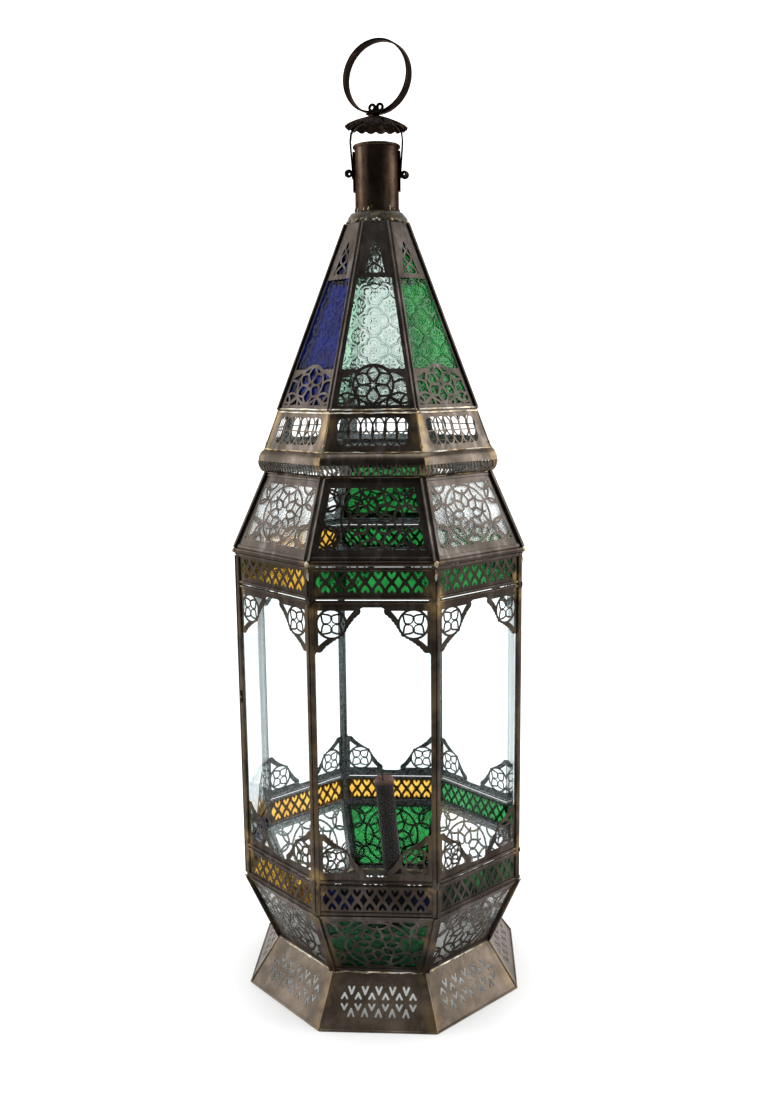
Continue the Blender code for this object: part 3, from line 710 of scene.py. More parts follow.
def pass_lamps(n, surface, tint):
    """Lets light from lamps through a glass, tinted, so that it doesn't cast a solid shadow."""
    path = n.new("ShaderNodeLightPath")
    clear = n.new("ShaderNodeBsdfTransparent")
    n.put(clear.inputs["Color"], (*tint, 1.0))
    mix = n.new("ShaderNodeMixShader")
    n.put(mix.inputs[0], path.outputs["Is Shadow Ray"])
    n.put(mix.inputs[1], surface)
    n.put(mix.inputs[2], clear.outputs[0])
    n.put(n.output.inputs["Surface"], mix.outputs[0])


def pressed_glass(name, pale, deep, roughness, painted_slope_shade=0.55, ior=1.12):
    """Coloured glass with a pressed relief, uneven in colour, with painted shade on the relief's slopes in
    place of the dark lines that its refraction would show.
    """
    n = Nodes(name)
    colour = n.blend(n.step(n.noise(45.0, 3.0, 0.6), 0.35, 0.68), pale, deep)
    # Painted shade: the colour is darkened where the relief slopes, standing in for the light that the slopes
    # bend away.
    slope = n.new("ShaderNodeAttribute", attribute_name="slope")
    share = n.math("MULTIPLY", n.step(slope.outputs["Fac"], 0.12, 0.60), painted_slope_shade)
    colour = n.blend(share, colour, [0.20 * c for c in deep])
    n.put(n.shader.inputs["Base Color"], colour)
    n.shader.inputs["Roughness"].default_value = roughness
    n.shader.inputs["IOR"].default_value = ior
    n.shader.inputs["Specular IOR Level"].default_value = 0.15
    n.shader.inputs["Transmission Weight"].default_value = 1.0
    n.put(n.shader.inputs["Normal"], n.bump(n.noise(650.0, 2.0, 0.5), 0.10 * MM, 0.5))
    pass_lamps(n, n.shader.outputs[0], pale)
    return n.material


def window_glass(name):
    """Thin clear glass: seen straight through, with a sheen at a glancing angle and a faint tint."""
    n = Nodes(name)
    clear = n.new("ShaderNodeBsdfTransparent")
    tint = n.blend(n.noise(12.0, 2.0, 0.5), (0.970, 0.990, 0.990), (0.945, 0.980, 0.985))
    n.put(clear.inputs["Color"], tint)
    gloss = n.new("ShaderNodeBsdfGlossy")
    gloss.inputs["Roughness"].default_value = 0.03
    n.put(gloss.inputs["Normal"], n.bump(n.noise(35.0, 2.0, 0.5), 1.0 * MM, 0.15))
    glance = n.new("ShaderNodeLayerWeight")
    glance.inputs["Blend"].default_value = 0.5
    sheen = n.math("MULTIPLY_ADD", n.math("POWER", glance.outputs["Facing"], 5.0), 0.75, 0.007)
    mix = n.new("ShaderNodeMixShader")
    n.put(mix.inputs[0], sheen)
    n.put(mix.inputs[1], clear.outputs[0])
    n.put(mix.inputs[2], gloss.outputs[0])
    n.put(n.output.inputs["Surface"], mix.outputs[0])
    n.tree.nodes.remove(n.shader)
    return n.material


def candle_wax(name):
    """Dark maroon wax, bloomed in places and redder where it has melted."""
    n = Nodes(name)
    z = n.new("ShaderNodeSeparateXYZ")
    n.put(z.inputs[0], n.point)
    bloom = n.step(n.noise(60.0, 4.0, 0.6), 0.35, 0.70)
    base = n.blend(bloom, (0.008, 0.004, 0.0045), (0.024, 0.010, 0.011))
    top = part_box("candle")[1].z
    melted = n.step(z.outputs["Z"], top - 7.5 * MM, top - 1.0 * MM)
    base = n.blend(melted, base, (0.150, 0.062, 0.052))
    base = n.blend(n.step(n.noise(420.0, 3.0, 0.6), 0.70, 0.84), base, (0.10, 0.075, 0.07))
    n.put(n.shader.inputs["Base Color"], base)
    n.shader.inputs["Roughness"].default_value = 0.55
    n.shader.inputs["Specular IOR Level"].default_value = 0.2
    n.put(n.shader.inputs["Normal"], n.bump(n.noise(150.0, 4.0, 0.6), 0.5 * MM, 0.6))
    return n.material


def matt(name, one, other, roughness, scale):
    n = Nodes(name)
    n.put(n.shader.inputs["Base Color"], n.blend(n.noise(scale, 4.0, 0.6), one, other))
    n.shader.inputs["Roughness"].default_value = roughness
    n.put(n.shader.inputs["Normal"], n.bump(n.noise(scale * 3, 4.0, 0.6), 0.2 * MM, 0.8))
    return n.material


def seam_between(below, above):
    """The height midway between the top of one of a side's panes and the foot of the next."""
    return (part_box(f"front_{below}_pane")[1].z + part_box(f"front_{above}_pane")[0].z) / 2


def make_materials():
    seams = [seam_between("lower", "main"), seam_between("main", "upper")]
    worn, rust = (0.75, 0.70, 0.66), (0.40, 0.30, 0.22)
    bare = {"lining": False, "edge": rust}
    return {
        "tin": tin(
            "antique_tin", (0.034, 0.027, 0.023), (0.072, 0.058, 0.049), (0.160, 0.138, 0.134), 0.25
        ),
        "side": tin(
            "body_tin", (0.025, 0.019, 0.015), (0.052, 0.041, 0.033), (0.080, 0.065, 0.058),
            0.60, seams, edge=worn
        ),
        "spire": tin(
            "spire_tin", (0.030, 0.025, 0.021), (0.068, 0.056, 0.048), (0.125, 0.108, 0.103), edge=worn
        ),
        "gallery": tin(
            "gallery_tin", (0.040, 0.032, 0.025), (0.092, 0.074, 0.059), (0.170, 0.145, 0.131),
            0.35, edge=worn
        ),
        "plinth": tin(
            "plinth_tin", (0.066, 0.050, 0.036), (0.142, 0.110, 0.082), (0.160, 0.130, 0.105),
            0.25, metallic=0.4
        ),
        "tube": tin(
            "tube_tin", (0.022, 0.014, 0.010), (0.064, 0.043, 0.029), (0.115, 0.083, 0.060), **bare
        ),
        "wire": tin(
            "dark_wire", (0.006, 0.005, 0.004), (0.015, 0.012, 0.010), (0.035, 0.029, 0.025), **bare
        ),
        "strap": tin(
            "strap_iron", (0.007, 0.005, 0.004), (0.019, 0.014, 0.010), (0.050, 0.038, 0.030), **bare
        ),
        "solder": solder("solder_brass", (0.110, 0.074, 0.036), (0.400, 0.300, 0.160), (0.380, 0.365, 0.325)),
        # Lighter solder for the seams: partly the solder's own brassy colour, partly a painted highlight that
        # stands in for the light line along a seam.
        "bright": solder(
            "solder_painted_highlight", (0.200, 0.158, 0.098), (0.560, 0.470, 0.320), (0.560, 0.540, 0.485)
        ),
        "dull": solder("solder_dull", (0.016, 0.013, 0.009), (0.046, 0.038, 0.024), (0.090, 0.080, 0.064)),
        "window": window_glass("window_glass"),
        # For pressed glass, the number after the roughness is how strongly the relief's slopes are darkened
        # with painted shade.
        "clear": pressed_glass(
            "clear_pressed_glass", (0.900, 0.950, 0.930), (0.740, 0.870, 0.810), 0.04, 0.95, 1.4
        ),
        "frost": pressed_glass(
            "clear_rough_glass", (0.985, 0.995, 0.992), (0.940, 0.965, 0.960), 0.16, 0.45, 1.4
        ),
        "mint": pressed_glass("mint_glass", (0.560, 0.850, 0.690), (0.480, 0.780, 0.610), 0.10),
        "green": pressed_glass("green_glass", (0.022, 0.300, 0.060), (0.010, 0.170, 0.030), 0.04, 0.95, 1.22),
        "bottle": pressed_glass(
            "dark_green_glass", (0.016, 0.150, 0.045), (0.008, 0.080, 0.024), 0.05, 0.9, 1.18
        ),
        "amber": pressed_glass("amber_glass", (0.800, 0.470, 0.065), (0.660, 0.330, 0.030), 0.08),
        "blue": pressed_glass("blue_glass", (0.006, 0.012, 0.200), (0.003, 0.006, 0.110), 0.10),
        "wax": candle_wax("maroon_wax"),
        "wick": matt("charred_wick", (0.008, 0.007, 0.006), (0.030, 0.024, 0.020), 0.95, 600.0),
    }


MATERIALS = make_materials()


# ---------------------------------------------------------------- panes

GLASS_SLOTS = {"amber": "amber_glass", "blue": "blue_glass"}
GLASS_SLOTS |= dict.fromkeys(("green", "mint", "bottle"), "green_glass")


def cell(value, pitch):
    return np.mod(value / pitch + 0.5, 1.0) * pitch - pitch / 2


def medallions(x, y, pitch):
    """The height of a pressed pattern: rows of four-lobed medallions, with flowers in and between them."""
    u, v = abs(cell(x, pitch)), abs(cell(y, pitch))
    lobe = 0.245 * pitch
    shape = np.minimum(np.hypot(u - lobe, v), np.hypot(u, v - lobe)) - 0.235 * pitch
    height = 1.0 * np.exp(-((shape / (0.032 * pitch)) ** 2))
    height += 0.55 * np.exp(-(((shape + 0.10 * pitch) / (0.026 * pitch)) ** 2))
    for turned in (False, True):
        shift = pitch / 2 if turned else 0.0
        a, b = cell(x + shift, pitch), cell(y + shift, pitch)
        angle, radius = np.arctan2(b, a), np.hypot(a, b)
        for distance, size, petals in ((0.085, 0.030, 4), (0.165, 0.034, 4 if not turned else 8)):
            lobes = 0.5 + 0.5 * np.cos(angle * petals)
            height += 0.8 * lobes**2 * np.exp(-(((radius / pitch - distance) / size) ** 2))
    return height


def hammered(x, y, pitch):
    """The height of a finely dimpled glass."""
    height = np.zeros_like(x)
    for index in range(9):
        angle = 2.4 * index
        wave = (2 * math.pi / pitch) * (0.75 + 0.09 * index)
        height += np.cos((x * math.cos(angle) + y * math.sin(angle)) * wave + 1.7 * index)
    return height / 4.5


def pane(name, matrix, quad, relief, grid, node, body, colour):
    """A pane of glass in a panel's frame, its front raised by relief(x, y).

    quad is its bottom and top, the half width at each, its middle, its depth and its thickness.
    """
    bottom, top, half_low, half_high, middle, depth, thickness = quad
    rows = max(2, round((top - bottom) / grid))
    columns = max(2, round(2 * max(half_low, half_high) / grid))
    t, s = np.meshgrid(np.linspace(0, 1, rows + 1), np.linspace(-1, 1, columns + 1), indexing="ij")
    y = bottom + (top - bottom) * t
    x = middle + s * (half_low + (half_high - half_low) * t)
    z = depth + relief(x, y)
    z[[0, -1], :] = depth
    z[:, [0, -1]] = depth
    front = np.stack([x, y, z], -1).reshape(-1, 3)
    count = len(front)
    index = np.arange(count).reshape(rows + 1, columns + 1)
    quads = np.stack([index[:-1, :-1], index[:-1, 1:], index[1:, 1:], index[1:, :-1]], -1).reshape(-1, 4)
    rim = [*index[0, :-1], *index[:-1, -1], *index[-1, :0:-1], *index[:0:-1, 0]]
    back = front[rim].copy()
    back[:, 2] = depth - thickness
    faces = [tuple(q) for q in quads.tolist()]
    for k in range(len(rim)):
        after = (k + 1) % len(rim)
        faces.append((rim[after], rim[k], count + k, count + after))
    faces.append(tuple(range(count + len(rim) - 1, count - 1, -1)))
    mesh = bpy.data.meshes.new(name)
    mesh.from_pydata([tuple(p) for p in np.vstack([front, back])], [], faces)
    # The relief's slope, which the pressed glass darkens as painted shade.
    rises = np.gradient(z, (top - bottom) / rows, 2 * half_low / columns)
    slope = np.clip(np.hypot(*rises) / 0.55, 0, 1).ravel()
    layer = mesh.attributes.new("slope", "FLOAT", "POINT")
    layer.data.foreach_set("value", np.concatenate([slope, np.zeros(len(back))]))
    mesh.transform(matrix)
    mesh.materials.append(MATERIALS[colour])
    mesh.shade_smooth()
    mesh.set_sharp_from_angle(angle=math.radians(60))
    obj = bpy.data.objects.new(name, mesh)
    bpy.context.scene.collection.objects.link(obj)
    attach(obj, body)
    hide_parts(node)


# ---------------------------------------------------------------- tiers

PLINTH = section("plinth", 0), section("plinth", 1)
TAPER = section("lower_taper", 0), section("lower_taper", 1)
SHOULDER = section("shoulder", 0), section("shoulder", 1)
GALLERY = section("gallery", 0), section("gallery", 1)
SPIRE = section("spire", 0), section("spire", 1)
EAVE = section("eave_channel", 0)[1], section("eave_channel", 1)[1]
BODY_RADIUS = -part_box("front_frame")[0].y / math.cos(CORNER)


def trapezium(low, high, inset=0.0):
    length = slope_length(low, high)
    half_low, half_high = (half - inset for half in half_widths(low, high))
    return [(-half_low, 0.0), (half_low, 0.0), (half_high, length), (-half_high, length)]


def eight_panels(mesh, low, high):
    """A build that holds a panel's mesh on each of the eight faces."""
    build = Build()
    for face in range(SIDES):
        build.add_mesh(mesh, panel_matrix(face, low, high))
    return build


def add_hips(build, low, high, rod, flange, slot=0):
    """Folded channels over the corners between sloping panels: a rod, and a flange under it."""
    for index in range(SIDES):
        out = corner_direction(index)
        foot = out * low[0] + Vector((0, 0, low[1]))
        head = out * high[0] + Vector((0, 0, high[1]))
        build.sweep([foot - out * 0.2 * MM, head - out * 0.2 * MM], circle(rod, 10), out, slot)
        for side in (0, 1):
            normal = panel_matrix(index + side, low, high).to_3x3() @ UP
            along = (head - foot).normalized()
            inward = along.cross(normal) * (1 if side == 0 else -1)
            shift = inward * flange / 2 + normal * 0.1 * MM
            build.sweep([foot + shift, head + shift], rounded(flange, 0.7 * MM, 0.25 * MM, 2), normal, slot)


def add_edges(build, low, high, levels, width, depth, slot=0, inset=0.0):
    """Folded rails across sloping panels, at distances up their slope."""
    length = slope_length(low, high)
    half_low, half_high = half_widths(low, high)
    for face in range(SIDES):
        matrix = panel_matrix(face, low, high)
        for level in levels:
            half = half_low + (half_high - half_low) * level / length - inset
            path = [matrix @ Vector((x, level, 0)) for x in (-half, half)]
            build.sweep(path, rounded(width, depth, 0.3 * MM, 2), matrix.to_3x3() @ UP, slot)


def make_plinth():
    low, high = PLINTH
    length = slope_length(low, high)
    mesh = sheet(trapezium(low, high), lambda x, y: slots(x, y, 0.50 * length, 13.2 * MM))
    build = eight_panels(mesh, low, high)
    wire = [(low[0] - 0.7 * MM + x, 1.1 * MM + y) for x, y in circle(1.1 * MM, 8)]
    build.eight_sided(wire, divisions=6, wobble=0.3 * MM)
    for index in range(SIDES):
        out = corner_direction(index)
        path = [out * (low[0] - 0.3 * MM) + UP * 1.5 * MM, out * (high[0] - 0.3 * MM) + UP * high[1]]
        build.sweep(path, circle(0.8 * MM, 8), out)
    ledge = section("plinth", 1)[0] - 14.0 * MM
    flat = [(high[0] - 0.3 * MM, high[1]), (high[0] - 0.8 * MM, high[1] - 0.6 * MM)]
    build.eight_sided([*flat, (ledge, high[1] - 0.6 * MM), (ledge, high[1])])
    build.piece("plinth_skirt", [MATERIALS["plinth"]], stands_for=["plinth"])
    seam = Build()
    beaded = [(high[0] - 0.5 * MM + x, high[1] - 0.8 * MM + y) for x, y in circle(1.5 * MM, 8, 1.3)]
    seam.eight_sided(beaded, divisions=28, wobble=1.9 * MM, seed=3.0)
    # The seam is drawn in the lighter solder, whose colour holds a painted highlight.
    seam.piece("plinth_seam", [MATERIALS["bright"]], slot="solder")


def make_taper():
    low, high = TAPER
    length = slope_length(low, high)

    def opening(x, y):
        inside = between_hips(x, y, low, high, 7.0 * MM)
        field = least(inside, y - 7.0 * MM, length - 7.0 * MM - y)
        flower = rosette(x, y, 0.0, length / 2, length / 2 - 8.0 * MM, 2.4 * MM)
        return least(field, flower)

    mesh = sheet(trapezium(low, high), opening)
    build = eight_panels(mesh, low, high)
    add_hips(build, low, high, 1.3 * MM, 4.2 * MM)
    add_edges(build, low, high, (2.3 * MM, length - 2.0 * MM), 3.4 * MM, 0.9 * MM)
    build.piece("taper_panels", [MATERIALS["tin"]], stands_for=["lower_taper"])
    span = (4.0 * MM, length - 4.0 * MM)
    add_tier_panes("taper", low, high, span, TAPER_GLASS, "lower_taper_glass", 12.0 * MM)


def add_tier_panes(name, low, high, span, colours, node, pitch):
    length = slope_length(low, high)
    half_low, half_high = half_widths(low, high)
    for face, colour in enumerate(colours):
        halves = [half_low + (half_high - half_low) * y / length - 3.2 * MM for y in span]
        quad = (*span, *halves, 0.0, -PANE_DEPTH, PANE)

        def relief(x, y):
            if colour == "window":
                return 0.05 * MM * hammered(x, y, 60 * MM)
            if colour in ("blue", "amber"):
                return 0.14 * MM * hammered(x, y, 7.0 * MM)
            return (0.20 if colour == "frost" else 0.50) * MM * medallions(x, y, pitch)

        matrix = panel_matrix(face, low, high)
        pane(f"{name}_pane_{FACES[face]}", matrix, quad, relief, 0.65 * MM, node, "lantern", colour)


def make_shoulder():
    low, high = SHOULDER
    length = slope_length(low, high)

    def opening(x, y):
        inside = between_hips(x, y, low, high, 8.0 * MM)
        field = least(inside, y - 10.5 * MM, length - 9.5 * MM - y)
        flower = rosette(x, y, 0.0, length / 2 + 0.5 * MM, length / 2 - 11.0 * MM, 2.0 * MM)
        return least(field, flower)

    mesh = sheet(trapezium(low, high), opening)
    build = eight_panels(mesh, low, high)
    add_hips(build, low, high, 1.4 * MM, 3.4 * MM)
    add_edges(build, low, high, (2.2 * MM, length - 2.0 * MM), 3.4 * MM, 0.9 * MM)
    build.piece("shoulder_panels", [MATERIALS["spire"]], stands_for=["shoulder"])
    span = (5.0 * MM, length - 4.0 * MM)
    add_tier_panes("shoulder", low, high, span, SHOULDER_GLASS, "shoulder_glass", 12.0 * MM)


def make_eave():
    """A rounded channel over the sides' top rail, with drops of solder at its corners."""
    low, high = EAVE
    radius = section("eave_channel", 0)[0] + 0.8 * MM
    middle, rise = (low + high) / 2 + 0.5 * MM, (high - low) / 2
    arc = np.linspace(-1.5, 1.5, 9)
    outer = [(radius + 1.3 * MM * math.cos(a), middle + rise * math.sin(a)) for a in arc]
    build = Build()
    back = radius - 3.0 * MM
    build.eight_sided([*outer, (back, middle + rise), (back, middle - rise)], divisions=4)
    lip = [(radius - 0.8 * MM + x, low - 1.4 * MM + y) for x, y in rounded(1.6 * MM, 1.2 * MM, 0.4 * MM, 2)]
    build.eight_sided(lip, divisions=4)
    build.piece("eave_channel_rolled", [MATERIALS["side"]], stands_for=["eave_channel"])
    drops = Build()
    for index in range(SIDES):
        out = corner_direction(index)
        drops.lump(out * radius + UP * middle, (2.2 * MM, 2.2 * MM, 2.6 * MM), index * 2.1)
        if index not in (DOOR_FACE, DOOR_FACE - 1):
            place = out * (BODY_RADIUS + 0.2 * MM) + UP * (low - 7.0 * MM)
            drops.lump(place, (1.3 * MM, 1.3 * MM, 5.0 * MM), index * 1.7 + 5)
    drops.piece("eave_solder", [MATERIALS["solder"]], slot="solder")


def make_bead():
    """A half-round moulding: plain above, and cut below into a row of chevron bars."""
    low, high = section("bead", 0)[1], section("bead", 1)[1]
    foot = section("bead", 0)[0]
    bulge = float(np.hypot(*corners("bead")[:, :2].T).max()) - foot
    middle, rise = (low + high) / 2, (high - low) / 2

    def arc(angle, out=0.0):
        return foot + (bulge + out) * math.cos(angle), middle + (rise + out) * math.sin(angle)

    def strip(build, first, last, steps):
        angles = np.linspace(first, last, steps + 1)
        profile = [arc(a) for a in angles] + [arc(a, -0.7 * MM) for a in angles[::-1]]
        build.eight_sided(profile, divisions=6, wobble=0.15 * MM)

    build = Build()
    split, end = 0.02, -1.02
    strip(build, split, math.pi / 2, 8)
    strip(build, -math.pi / 2, end, 4)
    count = 22
    for face in range(SIDES):
        matrix = panel_matrix(face, (1.0, 0.0), (1.0, 1.0))
        along = matrix.to_3x3() @ Vector((1, 0, 0))
        out = face_direction(face)
        for index in range(count + 1):
            share = index / count * 2 - 1
            path = []
            for step in range(5):
                angle = split + (end - split) * step / 4
                radius, height = arc(angle, -0.3 * MM)
                half = radius * math.sin(CORNER)
                lean = (1 - abs(step - 2) / 2) * 1.9 * MM
                edge = half - 0.8 * MM
                x = max(-edge, min(edge, share * edge + lean))
                path.append(out * apothem(radius) + along * x + UP * height)
            build.sweep(path, rounded(1.9 * MM, 0.6 * MM, 0.15 * MM, 1), out)
    build.piece("bead_moulding", [MATERIALS["gallery"]], stands_for=["bead"])
    seam = Build()
    for height, radius, size, seed in (
        (high + 0.2 * MM, foot + 1.1 * MM, 0.8 * MM, 7.0),
        (low - 0.1 * MM, foot + 0.5 * MM, 0.6 * MM, 9.0),
    ):
        bead = [(radius + x, height + y) for x, y in circle(size, 8)]
        seam.eight_sided(bead, divisions=24, wobble=0.8 * MM, seed=seed)
    seam.piece("bead_seams", [MATERIALS["solder"]], slot="solder")


def make_gallery():
    low, high = GALLERY
    length = slope_length(low, high)
    half = min(half_widths(low, high)) - 5.5 * MM
    mesh = sheet(
        trapezium(low, high),
        lambda x, y: interlace(x, y, 6.2 * MM, length - 6.0 * MM, half),
    )
    build = eight_panels(mesh, low, high)
    for index in range(SIDES):
        out = corner_direction(index)
        path = [out * (r - 0.4 * MM) + UP * z for r, z in (low, high)]
        build.sweep(path, circle(0.9 * MM, 8), out)
    build.piece("gallery_panels", [MATERIALS["gallery"]], stands_for=["gallery"])
    seam = Build()
    for shift in (-1.5 * MM, 1.5 * MM):
        bead = [(high[0] + 0.6 * MM - shift * 0.3 + x, high[1] + shift + y) for x, y in circle(0.75 * MM, 8)]
        seam.eight_sided(bead, divisions=24, wobble=0.55 * MM, seed=shift * 1000)
    # The top seam is drawn in the lighter solder, whose colour holds a painted highlight line.
    seam.piece("gallery_seams", [MATERIALS["bright"]], slot="solder")
    drops = Build()
    for index in range(SIDES):
        out = corner_direction(index)
        for share, size in ((0.12, 2.6), (0.5, 1.4), (0.93, 2.2)):
            radius = low[0] + (high[0] - low[0]) * share
            height = low[1] + (high[1] - low[1]) * share
            thick = size * 0.45 * MM
            drops.lump(out * (radius - 0.4 * MM) + UP * height, (thick, thick, size * MM), index + share * 9)
    drops.piece("gallery_solder", [MATERIALS["solder"]], slot="solder")


def make_spire():
    low, high = SPIRE
    mesh = sheet(trapezium(low, high), lambda x, y: spire_piercing(x, y, low, high))
    build = eight_panels(mesh, low, high)
    add_hips(build, low, high, 1.2 * MM, 2.4 * MM)
    build.piece("spire_panels", [MATERIALS["spire"]], stands_for=["spire"])
    add_tier_panes("spire", low, high, (3.5 * MM, 168.0 * MM), SPIRE_GLASS, "spire_glass", 29.0 * MM)


# ---------------------------------------------------------------- the sides and the door

def side_place(face):
    """A side's own frame at rest, whose Y is the height above the base. The door's is a little ajar."""
    matrix = panel_matrix(face, (BODY_RADIUS, 0.0), (BODY_RADIUS, 1.0))
    if face != DOOR_FACE:
        return matrix
    hinge = JOINTS["door_hinge"]
    pivot = Matrix.Translation(hinge["pos_m"])
    turn = Matrix.Rotation(math.radians(-hinge["range_deg"][0]), 4, Vector(hinge["axis"]))
    return pivot @ turn @ pivot.inverted() @ matrix


def extent(node, matrix):
    """A node's lowest and highest corner in a panel's frame."""
    back = matrix.inverted()
    points = np.array([back @ vert.co for vert in NODES[node].data.vertices])
    return points.min(0), points.max(0)


def bar(build, matrix, start, end, width, out, depth, slot=0):
    """A rounded bar in a panel's plane, from depth behind it to out before it."""
    path = [matrix @ Vector((*point, -depth)) for point in (start, end)]
    build.sweep(path, rounded(width, depth + out, 0.9 * MM, 3), matrix.to_3x3() @ UP, slot)


def make_side(face):
    """One side: a pierced sheet in a frame of folded channel, with its three panes."""
    name = "door" if face == DOOR_FACE else FACES[face]
    body = "door" if face == DOOR_FACE else "lantern"
    matrix = side_place(face)
    low, high = extent(f"{name}_frame", matrix)
    panes = {part: extent(f"{name}_{part}_pane", matrix) for part in ("lower", "main", "upper")}
    middle = (low[0] + high[0]) / 2
    half = (high[0] - low[0]) / 2
    lap = 1.5 * MM
    windows = {part: (box[0][1] + lap, box[1][1] - lap) for part, box in panes.items()}
    stile = 4.6 * MM
    inner = half - stile
    clear = 0.8 * MM if body == "door" else 0.0
    seams = [
        (windows["lower"][1] + windows["main"][0]) / 2 - 1.2 * MM,
        (windows["main"][1] + windows["upper"][0]) / 2,
    ]

    def opening(x, y):
        x = x - middle
        made = hearts(x, y, *windows["lower"], inner - 2.0 * MM)
        made = np.maximum(made, hearts(x, y, *windows["upper"], inner - 2.0 * MM))
        made = np.maximum(made, spandrels(x, y, *windows["main"], inner))
        for seam in seams:
            made = np.maximum(made, np.minimum(0.45 * MM - abs(y - seam), inner - 1.5 * MM - abs(x)))
        return made

    outline = [(low[0], low[1]), (high[0], low[1]), (high[0], high[1]), (low[0], high[1])]
    build = Build()
    back = Matrix.Translation((0, 0, -0.9 * MM))
    build.add_mesh(sheet(outline, opening), matrix @ back)
    ends = (low[1] + 0.3 * MM, high[1] - 0.3 * MM)
    for side in (-1, 1):
        x = middle + side * (half - (stile + clear) / 2)
        bar(build, matrix, (x, ends[0]), (x, ends[1]), stile - 0.4 * MM - clear, 0.9 * MM, 3.2 * MM)
    for y, width in (
        (low[1] + 2.0 * MM, 3.2 * MM),
        (seams[0] - 2.1 * MM, 2.6 * MM),
        (seams[0] + 2.1 * MM, 2.6 * MM),
        (seams[1] - 2.1 * MM, 2.6 * MM),
        (seams[1] + 2.1 * MM, 2.6 * MM),
        (high[1] - 2.0 * MM, 3.0 * MM),
    ):
        bar(build, matrix, (middle - inner, y), (middle + inner, y), width, 0.5 * MM, 2.4 * MM)
    build.piece(f"{name}_grille", [MATERIALS["side"]], body=body, stands_for=[f"{name}_frame"])
    depth = -panes["main"][1][2]
    for part, colour, pitch in (("lower", LOWER_GLASS[face], 7.0), ("upper", UPPER_GLASS[face], 7.0)):
        start, end = windows[part]
        quad = (start - lap, end + lap, inner + lap, inner + lap, middle, -1.9 * MM, 1.6 * MM)
        size = pitch * MM

        def relief(x, y):
            if colour in ("green", "bottle"):
                return 0.30 * MM * medallions(x, y, size)
            return 0.16 * MM * hammered(x, y, size / 2)

        node = f"{name}_{part}_pane"
        pane(f"{name}_{part}_glass", matrix, quad, relief, 0.8 * MM, node, body, colour)
    start, end = windows["main"]
    quad = (start - lap, end + lap, inner + lap, inner + lap, middle, -depth, 1.8 * MM)
    node = f"{name}_main_pane"

    def rolled(x, y):
        return 0.10 * MM * hammered(x, y, 60 * MM)

    pane(f"{name}_main_glass", matrix, quad, rolled, 9.0 * MM, node, body, "window")


def make_corner_solder():
    """Solder at the corners of the sides: at each seam, and along the foot."""
    build = Build()
    for index in range(SIDES):
        if index in (DOOR_FACE, DOOR_FACE - 1):
            continue
        out = corner_direction(index)
        for height, length, thick in ((0.4185, 3.4, 1.5), (0.1500, 3.0, 1.5), (0.1215, 2.4, 1.6)):
            size = (thick * MM, thick * MM, length * MM)
            build.lump(out * (BODY_RADIUS + 0.1 * MM) + UP * height, size, index * 3.1 + height * 50)
    build.piece("corner_solder", [MATERIALS["dull"]], slot="solder")


def make_door_fittings():
    for node, body in (
        ("door_hinge_leaf", "door"),
        ("frame_hinge_leaf", "lantern"),
        ("door_hinge_pin", "lantern"),
    ):
        NODES[node].data.materials.clear()
        NODES[node].data.materials.append(MATERIALS["wire" if node.endswith("pin") else "side"])
    joint = JOINTS["latch_turn"]
    axis = Vector(joint["axis"])
    low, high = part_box("latch_button")
    centre = (low + high) / 2 + axis * 0.6 * MM
    build = Build()
    side = axis.cross(UP).normalized()
    half, thick = (high.z - low.z) / 2, 0.55 * MM
    rings = []
    for out, shrink in ((-thick, 0.82), (-thick * 0.4, 1.0), (thick * 0.5, 1.0), (thick, 0.80)):
        ring_points = []
        for step in range(24):
            angle = 2 * math.pi * step / 24
            across = 2.1 * MM * math.copysign(abs(math.cos(angle)) ** 0.8, math.cos(angle))
            rise = half * math.copysign(abs(math.sin(angle)) ** 0.8, math.sin(angle))
            ring_points.append(centre + side * across * shrink + UP * rise * (shrink + 1) / 2 + axis * out)
        rings.append(ring_points)
    build.add_rings(rings)
    build.piece("turn_button", [MATERIALS["wire"]], body="latch", stands_for=["latch_button"])
    rivet = Build()
    low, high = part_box("latch_rivet")
    head = Vector(joint["pos_m"])
    reach = (high - low).length / 2
    rivet.sweep([head - axis * reach, head + axis * reach * 0.55], circle(0.85 * MM, 12), side)
    rivet.lump(head + axis * reach * 0.6, (1.5 * MM, 1.5 * MM, 1.5 * MM), 4.0)
    rivet.piece("button_rivet", [MATERIALS["solder"]], stands_for=["latch_rivet"], slot="wire")


# ---------------------------------------------------------------- neck, bail, cap and ring

